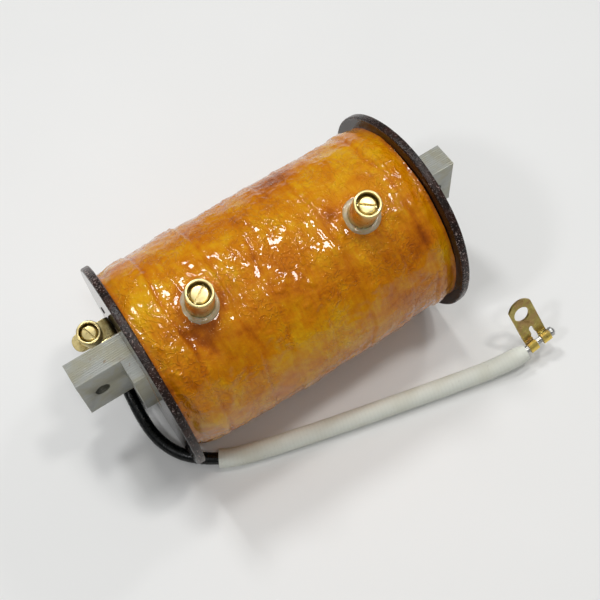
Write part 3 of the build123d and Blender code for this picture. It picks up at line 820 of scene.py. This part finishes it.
# ---------------------------------------------------------------- flanges
class CutFlanges(bpy.types.Operator):
    """Cut the two fibre flanges, with rounded, slightly uneven rims"""

    bl_idname = "coil.cut_flanges"
    bl_label = "Flanges"

    def execute(self, context):
        material = flange_fibre(context.scene.coil_colours)
        edge = 0.45
        faces = [7.0, 13.0, 19.0, 22.5, 25.0, 27.0, 28.1]
        for side, name in ((-1, "flange_left"), (1, "flange_right")):
            outline = [(r, FLANGE_IN) for r in faces]
            outline += arc((FLANGE_R - edge, FLANGE_IN + edge), edge, -90, 0, 4)
            outline += arc((FLANGE_R - edge, FLANGE_OUT - edge), edge, 0, 90, 4)
            outline += [(r, FLANGE_OUT) for r in reversed(faces)]
            bm = turned(outline, steps=224, along="X")
            half = Vector((0, FORMER_HALF.y + 0.05, FORMER_HALF.z + 0.05))
            opening = block((0, -half.y, -half.z), (2 * FLANGE_OUT, half.y, half.z))
            bm = carve(bm, opening)
            warp = context.scene.coil_sizes.warp if side > 0 else 0.05
            for vert in bm.verts:
                radius = math.hypot(vert.co.y, vert.co.z)
                angle = math.atan2(-vert.co.y, vert.co.z)
                share = smooth_step(20.0, FLANGE_R, radius)
                seed = Vector((math.sin(angle), math.cos(angle), side * 2.0))
                wander = math.sin(2 * angle + 0.6) + 0.6 * noise.noise(seed * 1.7)
                vert.co.x += warp * share * wander
                chip = noise.noise(seed * 9.0) * 0.07 + noise.noise(seed * 2.2) * 0.12
                stretch = 1.0 + share * min(chip, 0.0) / FLANGE_R
                vert.co.y *= stretch
                vert.co.z *= stretch
                vert.co.x *= side
            if side < 0:
                bmesh.ops.reverse_faces(bm, faces=bm.faces)
            add_piece(name.replace("flange", "fibre_flange"), bm, material, [name])
        return {"FINISHED"}


# ---------------------------------------------------------------- laminated core
SHEETS = 12
SHEET_GAP = 0.02
BOLT_X = 52.0
BOLT_R = 2.0


def punched_sheet(half_x, half_z, thickness, drilled):
    """One steel sheet standing in the XZ plane."""
    bm = bmesh.new()
    corners = ((-1, -1), (1, -1), (1, 1), (-1, 1))
    draw(bm, [(half_x * x, 0, half_z * z) for x, z in corners])
    if drilled:
        upright = Matrix.Rotation(math.pi / 2, 4, "X")
        for side in (-1, 1):
            matrix = Matrix.Translation((side * BOLT_X, 0, 0)) @ upright
            bmesh.ops.create_circle(bm, cap_ends=False, segments=40, radius=BOLT_R, matrix=matrix)
    bmesh.ops.triangle_fill(bm, use_beauty=True, use_dissolve=False, edges=bm.edges[:])
    thicken(bm, (0, thickness, 0))
    sharp = [e for e in bm.edges if len(e.link_faces) == 2 and e.calc_face_angle(0.0) > 0.6]
    round_off(bm, sharp, 0.03, 2, "EDGES")
    return bm


class StackCore(bpy.types.Operator):
    """Stack the core's steel sheets, with the small unevenness of a real stack"""

    bl_idname = "coil.stack_core"
    bl_label = "Laminated core"

    def execute(self, context):
        noise.seed_set(SEED)
        material = core_steel(context.scene.coil_colours)
        stacks = (
            ("core_long_laminations", LONG_LOW, LONG_HIGH, True),
            ("core_short_laminations", SHORT_LOW, SHORT_HIGH, False),
        )
        for name, low, high, drilled in stacks:
            pitch = (high.y - low.y + SHEET_GAP) / SHEETS
            sheet = punched_sheet(high.x, high.z, pitch - SHEET_GAP, drilled)
            stack = bmesh.new()
            for i in range(SHEETS):
                fresh = absorb(stack, sheet.copy())
                shake = noise.noise_vector(Vector((i * 3.7, low.y, 1.3))) * 0.03
                step = (shake.x, low.y + i * pitch, shake.z)
                bmesh.ops.translate(stack, vec=step, verts=fresh)
            sheet.free()
            add_piece(name.replace("laminations", "stack"), stack, material, [name])
        return {"FINISHED"}


# ---------------------------------------------------------------- posts and screws
POST_FOOT = 25.2  # a cup's lower end, inside its collar
COLLAR_FOOT = POST_FOOT - 1.0
POST_RECESS_R = 2.78
POST_HEAD_R = 2.38
SLOT_TURNS = {"left": 32.0, "right": -37.0}
SCREW_R = 1.5
SEAT = 0.6  # a screw's head sits this far above its cup's floor, on the washer
THREAD_PITCH = 0.5


def cup_outline(radius, recess, foot, rim):
    """A turned cup: eased rim, deep recess and a threaded hole."""
    floor = rim - CUP_DEPTH
    bore = SCREW_R + 0.05
    return [
        (radius, foot), (radius, rim - 0.24), (radius - 0.07, rim - 0.08), (radius - 0.2, rim),
        (recess + 0.14, rim), (recess + 0.04, rim - 0.05), (recess, rim - 0.16),
        (recess, floor + 0.12), (recess - 0.12, floor), (bore + 0.1, floor), (bore, floor - 0.12),
        (bore, foot),
    ]


def slotted_screw(head_r, seat, length, slot_turn, slot_w):
    """A cheese-head screw with a bevelled head and a thread, its slot cut across."""
    top = seat + 2.0
    outline = [(0.0, top + 0.05), (head_r - 0.75, top + 0.03), (head_r - 0.42, top - 0.03)]
    outline += [(head_r - 0.12, top - 0.30), (head_r - 0.02, top - 0.48), (head_r, top - 0.6)]
    outline += [(head_r, seat + 0.08), (head_r - 0.08, seat), (SCREW_R, seat)]
    turns = int((length - 0.4) / THREAD_PITCH)
    for i in range(turns):
        start = seat - i * THREAD_PITCH
        outline += [(SCREW_R, start - 0.12), (SCREW_R - 0.22, start - 0.3), (SCREW_R, start - 0.48)]
    outline += [(SCREW_R - 0.35, seat - length), (0.0, seat - length)]
    screw = turned(outline, closed=False)
    slot = block((-2 * head_r, -slot_w / 2, top - 0.85), (2 * head_r, slot_w / 2, top + 1.0))
    slot.transform(Matrix.Rotation(slot_turn, 4, "Z"))
    return carve(screw, slot)


def washer_outline(outer, base):
    """A plain washer with eased outer edges."""
    top = base + 0.5
    hole = SCREW_R + 0.1
    return [
        (hole, base), (outer - 0.1, base), (outer, base + 0.1), (outer, top - 0.1),
        (outer - 0.1, top), (hole, top),
    ]


class TurnPosts(bpy.types.Operator):
    """Turn the two high-tension posts with their collars, washers and screws"""

    bl_idname = "coil.turn_posts"
    bl_label = "High-tension posts"

    def execute(self, context):
        colours = context.scene.coil_colours
        brass = turned_brass(colours, "post_brass")
        screw_brass = turned_brass(colours, "screw_brass", 1.06, 0.2)
        resin = collar_resin()
        floor = POST_RIM - CUP_DEPTH
        for name, (x, degrees) in POSTS.items():
            slot_turn = math.radians(SLOT_TURNS[name])
            lean = Matrix.Rotation(math.radians(degrees), 4, "X")
            place = lean @ Matrix.Translation((x, 0.0, 0.0))
            body = name + "_post_"
            cup = turned(cup_outline(POST_R, POST_RECESS_R, POST_FOOT, POST_RIM), steps=128)
            add_piece(name + "_post_cup", cup, brass, ["post_" + name], place=place)
            screw = slotted_screw(POST_HEAD_R, floor + SEAT, 5.8, slot_turn, 0.62)
            add_piece(name + "_slotted_screw", screw, screw_brass,
                      ["post_screw_" + name], body + "screw", place, 0.05, 30.0)
            ring = turned(washer_outline(2.5, floor + 0.05))
            add_piece(name + "_plain_washer", ring, brass, ["post_washer_" + name],
                      body + "washer", place)
            collar = turned([
                (POST_R + 0.05, COLLAR_FOOT), (COLLAR_R, COLLAR_FOOT), (COLLAR_R, 26.1),
                (COLLAR_R - 0.12, 26.38), (COLLAR_R - 0.4, 26.58), (COLLAR_R - 0.8, 26.66),
                (POST_R + 0.2, 26.7), (POST_R + 0.05, 26.62),
            ], steps=128)
            for vert in collar.verts:
                uneven = noise.noise(Vector((vert.co.x, vert.co.y, x)) * 0.35)
                swell = 1.0 + 0.035 * uneven * smooth_step(POST_R, COLLAR_R, vert.co.xy.length)
                vert.co.x *= swell
                vert.co.y *= swell
            add_piece(name + "_resin_collar", collar, resin, ["post_collar_" + name],
                      place=place)
        return {"FINISHED"}


# ---------------------------------------------------------------- primary terminal
class BendTerminal(bpy.types.Operator):
    """Bend the primary strap and set its cup, screw, washer, nut, rivets and lead ferrule"""

    bl_idname = "coil.bend_terminal"
    bl_label = "Primary terminal"

    def execute(self, context):
        colours = context.scene.coil_colours
        brass = turned_brass(colours, "terminal_brass", 0.98)
        strap_brass = turned_brass(colours, "strap_brass", 0.85, 0.75)
        place = LEAN @ Matrix.Translation((TERMINAL_X, TERMINAL_Y, 0.0))
        floor = TERMINAL_RIM - CUP_DEPTH

        cup = turned(cup_outline(TERMINAL_R, TERMINAL_RECESS_R, 0.75, TERMINAL_RIM))
        add_piece("terminal_cup", cup, brass, ["primary_cup"], place=place)
        screw = slotted_screw(TERMINAL_HEAD_R, floor + SEAT, 6.2, math.radians(-73.0), 0.5)
        add_piece("terminal_screw", screw, brass, ["primary_screw"],
                  "primary_terminal_screw", place, 0.05, 30.0)
        ring = turned(washer_outline(2.3, floor + 0.05))
        add_piece("terminal_washer", ring, brass, ["primary_washer"],
                  "primary_terminal_washer", place)

        nut = bmesh.new()
        bmesh.ops.create_circle(nut, cap_ends=True, segments=6, radius=5.5 / math.sqrt(3.0),
                                matrix=Matrix.Translation((0, 0, -2.15)))
        thicken(nut, (0, 0, 1.8))
        add_piece("terminal_nut", nut, brass, ["primary_nut"], place=place, bevel=0.25,
                  sharp=30.0)

        bend = 1.3
        line = [(-53.3, STRAP_Z), (-50.0, STRAP_Z), (-46.0, STRAP_Z)]
        line += arc((STRAP_X - bend, STRAP_Z - bend), bend, 90, 0, 6)
        line += [(STRAP_X, -6.0), (STRAP_X, -11.0), (STRAP_X, -16.0)]
        strap = ribbon([(x, TERMINAL_Y - STRAP_W / 2, z) for x, z in line], (0, STRAP_W, 0))
        tips = [v for v in strap.verts if v.co.x < -53.0 or v.co.z < -15.9]
        round_off(strap, tips, 2.2, 6, "VERTICES")
        give_thickness(strap, STRAP_T)
        # the thickness has moved both legs: bring their middles back
        ledge = [v.co.z for v in strap.verts if v.co.x < -52.0]
        foot = [v.co.x for v in strap.verts if v.co.z < -12.5]
        back = (STRAP_X - sum(foot) / len(foot), 0, STRAP_Z - sum(ledge) / len(ledge))
        bmesh.ops.translate(strap, vec=back, verts=strap.verts)
        add_piece("bent_strap", strap, strap_brass, ["primary_strap"], place=LEAN,
                  bevel=0.12, sharp=30.0)

        rivets = bmesh.new()
        head = [(0.0, -0.75), (0.5, -0.74), (1.1, -0.62), (1.55, -0.36), (1.8, 0.0), (1.0, 0.0),
                (1.0, 1.5), (0.0, 1.5)]
        for height in (-3.6, -9.2):
            one = turned(head, steps=48, closed=False, along="X")
            one.transform(Matrix.Translation((STRAP_X - 0.55, TERMINAL_Y, height)))
            absorb(rivets, one)
        add_piece("domed_rivets", rivets, brass, ["strap_rivets"], place=LEAN)

        # the winding's start wire comes through a bush and is cut off flush
        rim = [(0.5, -2.0), (0.95, -2.0), (0.95, 0.12), (0.85, 0.2), (0.5, 0.2)]
        eyelet = turned(rim, steps=48)
        end = turned([(0.0, -2.0), (0.45, -2.0), (0.45, 0.05), (0.3, 0.12), (0.0, 0.14)], steps=32,
                     closed=False)
        outwards = Matrix.Rotation(-math.pi / 2, 4, "Y")
        flush = LEAN @ Matrix.Translation((-FLANGE_OUT, 18.6, -3.2)) @ outwards
        grain = (1, 1, 1)
        fibre = hidden_material("eyelet_fibre", (0.03, 0.014, 0.008), 0.4, 0.0, grain, 1.5, 0.03)
        copper = hidden_material("cut_copper", (0.33, 0.09, 0.03), 0.3, 0.6, grain, 1.0, 0.01)
        add_piece("start_eyelet", eyelet, fibre, ["flange_bush"], place=flush)
        add_piece("start_wire_end", end, copper, ["primary_start_wire"], place=flush)

        ferrule = turned([
            (1.78, -2.5), (2.15, -2.56), (2.38, -2.45), (2.3, -2.2), (2.3, 2.2), (2.15, 2.42),
            (1.9, 2.5), (0.0, 2.5), (0.0, 1.7), (1.7, 1.7), (1.72, -2.2),
        ], steps=64)
        add_piece("crimped_ferrule", ferrule, brass, ["lead_ferrule"],
                  place=Matrix.Translation(FERRULE))
        return {"FINISHED"}


# ---------------------------------------------------------------- lead and sleeve
def route_curve(name, points, radius):
    """A smooth cord through space: the points are its control points, in millimetres."""
    curve = bpy.data.curves.new(name, "CURVE")
    curve.dimensions = "3D"
    spline = curve.splines.new("NURBS")
    spline.points.add(len(points) - 1)
    for control, point in zip(spline.points, points):
        control.co = (*(Vector(point) * MM), 1.0)
    spline.order_u = 3
    spline.use_endpoint_u = True
    curve.resolution_u = 24
    curve.bevel_depth = radius * MM
    curve.bevel_resolution = 8
    curve.use_fill_caps = True
    return curve


def read_line(curve):
    """Points along a curve's own line, in millimetres."""
    bare = curve.copy()
    bare.bevel_depth = 0.0
    probe = bpy.data.objects.new("probe", bare)
    mesh = bpy.data.meshes.new_from_object(probe)
    line = [v.co / MM for v in mesh.vertices]
    bpy.data.objects.remove(probe)
    bpy.data.meshes.remove(mesh)
    bpy.data.curves.remove(bare)
    return line


def even_steps(line, step):
    """Walk along a line and return points a step apart."""
    points = [line[0]]
    left = step
    for a, b in zip(line, line[1:]):
        gap = (b - a).length
        travelled = 0.0
        while gap - travelled >= left:
            travelled += left
            points.append(a.lerp(b, travelled / gap))
            left = step
        left -= gap - travelled
    return points


def tube(bm, line, radius_at, segments):
    """Rings of vertices along a line, joined by extruding; returns the rings, in order."""
    rings = []
    edges = None
    for i, point in enumerate(line):
        ahead = line[min(i + 1, len(line) - 1)] - line[max(i - 1, 0)]
        ahead.normalize()
        side = ahead.cross(Vector((0, 0, 1))).normalized()
        up = side.cross(ahead)
        spots = []
        for j in range(segments):
            turn = TAU * j / segments
            spots.append(point + (side * math.cos(turn) + up * math.sin(turn)) * radius_at(i, turn))
        if edges is None:
            verts, edges = draw(bm, spots)
        else:
            made = bmesh.ops.extrude_edge_only(bm, edges=edges)["geom"]
            fresh = {v for v in made if isinstance(v, bmesh.types.BMVert)}
            partner = {}
            for v in fresh:
                for e in v.link_edges:
                    other = e.other_vert(v)
                    if other not in fresh:
                        partner[other] = v
            verts = [partner[v] for v in verts]
            edges = [e for e in made if isinstance(e, bmesh.types.BMEdge) and e.verts[0] in fresh
                     and e.verts[1] in fresh]
            for vert, spot in zip(verts, spots):
                vert.co = spot
        rings.append((verts, edges))
    return rings


BRAID_STEP = 0.2
BRAID_SEGMENTS = 100
BRAID_PITCH = 1.1
BRAID_ENDS = 20  # threads each way round


class LayLead(bpy.types.Operator):
    """Lay the insulated lead along its route and draw the woven sleeve over it"""

    bl_idname = "coil.lay_lead"
    bl_label = "Lead and sleeve"

    def execute(self, context):
        curve = route_curve("insulated_lead", ROUTE, LEAD_D / 2)
        curve.materials.append(lead_insulation())
        lead = bpy.data.objects.new("insulated_lead", curve)
        context.scene.collection.objects.link(lead)
        claim(lead, ["lead"], "coil")

        line = read_line(curve)
        first = next(i for i, p in enumerate(line) if p.x > SLEEVE_MOUTH_X and p.y < -10.0)
        last = line[-1]
        line = line[first:] + [last + (last - line[-2]).normalized() * SLEEVE_OVERHANG]
        line = even_steps(line, BRAID_STEP)
        relief = context.scene.coil_sizes.braid
        outer = SLEEVE_D / 2 - relief

        def weave(i, turn):
            along = TAU * i * BRAID_STEP / BRAID_PITCH
            over = math.cos(along + BRAID_ENDS * turn) * math.cos(along - BRAID_ENDS * turn)
            return over * math.cos(along)

        def outside(i, turn):
            end = min(i, len(line) - 1 - i) * BRAID_STEP
            pinch = 0.0 if i < len(line) / 2 else 0.45 * (1.0 - smooth_step(0.0, 3.0, end))
            slack = 0.05 * noise.noise(line[i] * 0.25 + Vector((0, 0, turn)))
            return outer + relief * weave(i, turn) + slack - pinch

        bm = bmesh.new()
        thread = bm.verts.layers.float.new("thread")
        shell = tube(bm, line, outside, BRAID_SEGMENTS)
        # the weave's relief is painted into the colour too: lighter where threads are raised, shade
        # where they dip
        for i, (verts, _) in enumerate(shell):
            for j, vert in enumerate(verts):
                vert[thread] = 0.5 + 0.5 * weave(i, TAU * j / BRAID_SEGMENTS)
        coarse = line[::5] + [line[-1]]
        lining = tube(bm, coarse, lambda i, turn: LEAD_D / 2 + 0.12, BRAID_SEGMENTS)
        for end in (0, -1):
            bmesh.ops.bridge_loops(bm, edges=shell[end][1] + lining[end][1])
        bmesh.ops.recalc_face_normals(bm, faces=bm.faces)
        material = woven_sleeve(context.scene.coil_colours)
        sleeve = add_piece("braided_sleeve", bm, material, ["lead_sleeve"])

        return {"FINISHED"}


# ---------------------------------------------------------------- flag tag
def tag_frame():
    """The tag's own axes: x its width, y its length towards the eye, z its front."""
    rise = Vector((math.cos(TAG_RISE) * math.cos(TAG_TURN), math.cos(TAG_RISE) * math.sin(TAG_TURN),
                   math.sin(TAG_RISE)))
    front = rise.cross(Vector((0, 0, 1))).normalized()
    up = front.cross(rise)
    length = up * math.cos(TAG_BACK) - front * math.sin(TAG_BACK)
    normal = rise.cross(length)
    matrix = Matrix((rise, length, normal)).transposed().to_4x4()
    matrix.translation = TAG_EYE
    return matrix


STRAND_STEP = 0.25


class FoldTag(bpy.types.Operator):
    """Stamp the brass tag, fold its two crimps round the tinned strands"""

    bl_idname = "coil.fold_tag"
    bl_label = "Flag tag"

    def execute(self, context):
        place = tag_frame()
        middle = (TAG_LEFT + TAG_RIGHT) / 2
        bottom = TAG_WIRE_Q + 1.5
        width = (TAG_RIGHT - TAG_LEFT) / 2
        outline = arc((middle, 0.35), 4.1, 30.0, 150.0, 28)
        outline += [(TAG_LEFT, -4.0), (TAG_LEFT, bottom), (middle - 0.95, bottom),
                    (middle - 0.95, bottom + 0.7), (middle - 0.65, bottom + 1.3)]
        outline += arc((middle, -5.95), 0.65, 180, 0, 8)
        outline += [(middle + 0.65, bottom + 1.3), (middle + 0.95, bottom + 0.7),
                    (middle + 0.95, bottom), (TAG_RIGHT, bottom), (TAG_RIGHT, -4.0)]
        outline = [(middle + max(-width, min(width, x - middle)), y) for x, y in outline]
        bm = bmesh.new()
        draw(bm, [(x, y, -TAG_T / 2) for x, y in outline])
        bmesh.ops.create_circle(bm, cap_ends=False, segments=64, radius=TAG_HOLE_R,
                                matrix=Matrix.Translation((0, 0, -TAG_T / 2)))
        bmesh.ops.triangle_fill(bm, use_beauty=True, use_dissolve=False, edges=bm.edges[:])
        thicken(bm, (0, 0, TAG_T))
        bright = bm.verts.layers.float.new("bright")

        # each crimp is a strip that goes under the strands, up the front and back in
        q, n = TAG_WIRE_Q, TAG_WIRE_N
        strip = [(bottom + 0.3, 0.0), (q - 0.4, -0.1)]
        strip += arc((q - 0.45, n - 0.45), 1.05, -90, -180, 4)
        strip += [(q - 1.5, n + 0.4)]
        strip += arc((q - 0.7, n + 0.62), 0.8, 180, 90, 4)
        strip += [(q, n + 1.45), (q + 0.9, n + 1.35), (q + 1.45, n + 0.95), (q + 1.55, n + 0.2)]
        for left in (TAG_LEFT + 0.05, TAG_RIGHT - TAG_CRIMP_W - 0.05):
            crimp = ribbon([(left, y, z) for y, z in strip], (TAG_CRIMP_W, 0, 0))
            give_thickness(crimp, 0.7)
            # the crimps' front faces carry a painted highlight
            for vert in absorb(bm, crimp):
                vert[bright] = smooth_step(n + 0.6, n + 1.4, vert.co.z)
        add_piece("folded_tag", bm, tag_brass(), ["lead_tag"], place=place, bevel=0.12,
                  sharp=35.0)

        # seven strands twisted together, tinned into one lobed wire with a round end
        start = Vector(ROUTE[-1])
        bend = place @ Vector((TAG_LEFT - 1.3, q, n))
        tip = place @ Vector((TAG_RIGHT + 1.9, q, n))
        points = [start, start.lerp(bend, 0.7), bend, bend.lerp(tip, 0.2), tip]
        curve = route_curve("strands_route", points, 0)
        line = even_steps(read_line(curve), STRAND_STEP)
        bpy.data.curves.remove(curve)
        total = len(line) - 1

        def lobed(i, turn):
            twist = turn * 3.5 + i * 0.10
            end = (total - i) * STRAND_STEP
            dome = math.sqrt(max(0.02, 1.0 - (1.0 - min(end / 0.9, 1.0)) ** 2))
            blob = 0.42 * bell(end - 1.1, 1.0)
            return (0.84 + 0.13 * abs(math.sin(twist)) + blob) * dome

        bm = bmesh.new()
        rings = tube(bm, line, lobed, 56)
        for end in (0, -1):
            bmesh.ops.edgeloop_fill(bm, edges=rings[end][1])
        bmesh.ops.recalc_face_normals(bm, faces=bm.faces)
        add_piece("tinned_strands", bm, tinned_wire(), ["lead_conductor"],
                  sharp=70.0)
        return {"FINISHED"}


# ---------------------------------------------------------------- frame nodes
class FinishHidden(bpy.types.Operator):
    """Give every frame node its finish, inside pieces included"""

    bl_idname = "coil.finish_hidden"
    bl_label = "Inner pieces"

    def execute(self, context):
        pairs = {
            "wound_tape": ["outer_tape_wrap"],
            "fibre_flange_left": ["flange_left", "flange_right"],
            "core_long_stack": ["core_long_laminations", "core_short_laminations"],
            "left_post_cup": ["post_left", "post_right", "post_washer_left", "post_washer_right"],
            "left_slotted_screw": ["post_screw_left", "post_screw_right"],
            "left_resin_collar": ["post_collar_left", "post_collar_right"],
            "terminal_cup": ["primary_cup", "primary_screw", "primary_washer", "primary_nut",
                             "strap_rivets", "lead_ferrule"],
            "bent_strap": ["primary_strap"],
            "insulated_lead": ["lead"],
            "braided_sleeve": ["lead_sleeve"],
            "tinned_strands": ["lead_conductor"],
            "folded_tag": ["lead_tag"],
        }
        for piece, nodes in pairs.items():
            coat(nodes, bpy.data.objects[piece].data.materials[0])
        for name, (tint, rough, metallic, stretch, grain, relief, nodes) in HIDDEN_FINISHES.items():
            coat(nodes, hidden_material(name, tint, rough, metallic, stretch, grain, relief))
        return {"FINISHED"}


# ---------------------------------------------------------------- stage
CAMERA_PLACE = Vector((-51.34, -113.95, 228.53))
CAMERA_AIM = Vector((9.76, 6.35, -29.0))
CAMERA_ROLL = math.radians(-7.03)
CAMERA_LENS = 59.2

# direction from the coil, distance in metres, size in metres, power in watts, tint
LAMPS = {
    "key_lamp": ((0.36, -0.10, 0.93), 0.80, 0.10, 1.05, (1.0, 0.98, 0.95)),
    "back_lamp": ((-0.05, 0.52, 0.85), 0.80, 0.13, 1.65, (0.98, 0.99, 1.0)),
    "top_lamp": ((0.12, 0.22, 0.97), 0.80, 0.10, 1.0, (1.0, 1.0, 0.98)),
    "right_lamp": ((0.66, 0.20, 0.72), 0.85, 0.10, 0.6, (0.98, 0.99, 1.0)),
    "front_lamp": ((-0.02, -0.40, 0.91), 0.80, 0.07, 0.45, (1.0, 0.99, 0.96)),
    "left_lamp": ((-0.62, -0.05, 0.78), 0.85, 0.10, 0.95, (0.97, 0.98, 1.0)),
}


# from this height to that height on the sky, and the strengths there
WORLD_CLIMB = (0.2, 1.0, 0.12, 0.38)


class SetStage(bpy.types.Operator):
    """Set the floor, lamps, world and camera"""

    bl_idname = "coil.set_stage"
    bl_label = "Stage"

    def execute(self, context):
        scene = context.scene
        s = Shader("floor_paint")
        tone = s.noise(s.place(), 0.02, 2.0)
        tint = s.mix(tone, (0.80, 0.80, 0.79), (0.83, 0.83, 0.82))
        material = s.finish(Base_Color=tint, Roughness=0.5)
        bm = bmesh.new()
        bmesh.ops.create_grid(bm, x_segments=8, y_segments=8, size=1.6)
        bmesh.ops.translate(bm, vec=(0, 0, FLOOR_Z * MM), verts=bm.verts)
        mesh = bpy.data.meshes.new("floor")
        bm.to_mesh(mesh)
        bm.free()
        mesh.materials.append(material)
        floor = bpy.data.objects.new("floor", mesh)
        scene.collection.objects.link(floor)
        floor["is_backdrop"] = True

        for name, (direction, distance, size, power, tint) in LAMPS.items():
            lamp = bpy.data.lights.new(name, "AREA")
            lamp.shape = "DISK"
            lamp.size = size
            lamp.energy = power
            lamp.color = tint
            holder = bpy.data.objects.new(name, lamp)
            way = Vector(direction).normalized()
            holder.location = way * distance
            holder.rotation_euler = way.to_track_quat("Z", "Y").to_euler()
            scene.collection.objects.link(holder)

        world = bpy.data.worlds.new("studio")
        world.use_nodes = True
        back = world.node_tree.nodes["Background"]
        back.inputs["Color"].default_value = (0.98, 0.99, 1.0, 1.0)
        links = world.node_tree.links
        ways = world.node_tree.nodes.new("ShaderNodeTexCoord")
        split = world.node_tree.nodes.new("ShaderNodeSeparateXYZ")
        climb = world.node_tree.nodes.new("ShaderNodeMapRange")
        climb.interpolation_type = "SMOOTHSTEP"
        for place, number in enumerate(WORLD_CLIMB):
            climb.inputs[1 + place].default_value = number
        links.new(ways.outputs["Generated"], split.inputs[0])
        links.new(split.outputs["Z"], climb.inputs[0])
        links.new(climb.outputs[0], back.inputs["Strength"])
        scene.world = world
        scene.view_settings.view_transform = "Standard"

        camera = bpy.data.cameras.new("camera")
        camera.lens = CAMERA_LENS
        camera.sensor_width = 36.0
        camera.clip_start = 0.01
        holder = bpy.data.objects.new("camera", camera)
        look = (CAMERA_AIM - CAMERA_PLACE).to_track_quat("-Z", "Y").to_matrix().to_4x4()
        roll = Matrix.Rotation(CAMERA_ROLL, 4, "Z")
        holder.matrix_world = Matrix.Translation(CAMERA_PLACE * MM) @ look @ roll
        scene.collection.objects.link(holder)
        scene.camera = holder
        return {"FINISHED"}


# ---------------------------------------------------------------- panel and registration
OPERATORS = (SetStage, FoldTag, LayLead, WindTape, CutFlanges, StackCore, TurnPosts, BendTerminal,
             FinishHidden)


class CoilPanel(bpy.types.Panel):
    """Buttons for every piece of the coil, and what a user may change"""

    bl_idname = "VIEW3D_PT_coil"
    bl_label = "Ignition Coil"
    bl_space_type = "VIEW_3D"
    bl_region_type = "UI"
    bl_category = "Coil"

    def draw(self, context):
        for group in (context.scene.coil_sizes, context.scene.coil_colours):
            for key in group.__annotations__:
                self.layout.prop(group, key)
        for operator in OPERATORS:
            self.layout.operator(operator.bl_idname)


CLASSES = (CoilSizes, CoilColours, CoilPanel) + OPERATORS


def register():
    for item in CLASSES:
        bpy.utils.register_class(item)
    bpy.types.Scene.coil_sizes = PointerProperty(type=CoilSizes)
    bpy.types.Scene.coil_colours = PointerProperty(type=CoilColours)


def unregister():
    del bpy.types.Scene.coil_colours
    del bpy.types.Scene.coil_sizes
    for item in reversed(CLASSES):
        bpy.utils.unregister_class(item)


def main():
    register()
    for operator in OPERATORS:
        group, name = operator.bl_idname.split(".")
        getattr(getattr(bpy.ops, group), name)()

    bpy.context.view_layer.update()
    boxes = {"cad": cad_box, "visual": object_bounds()}
    boxes = {key: [list(corner) for corner in box] for key, box in boxes.items()}


if __name__ == "__main__":
    main()
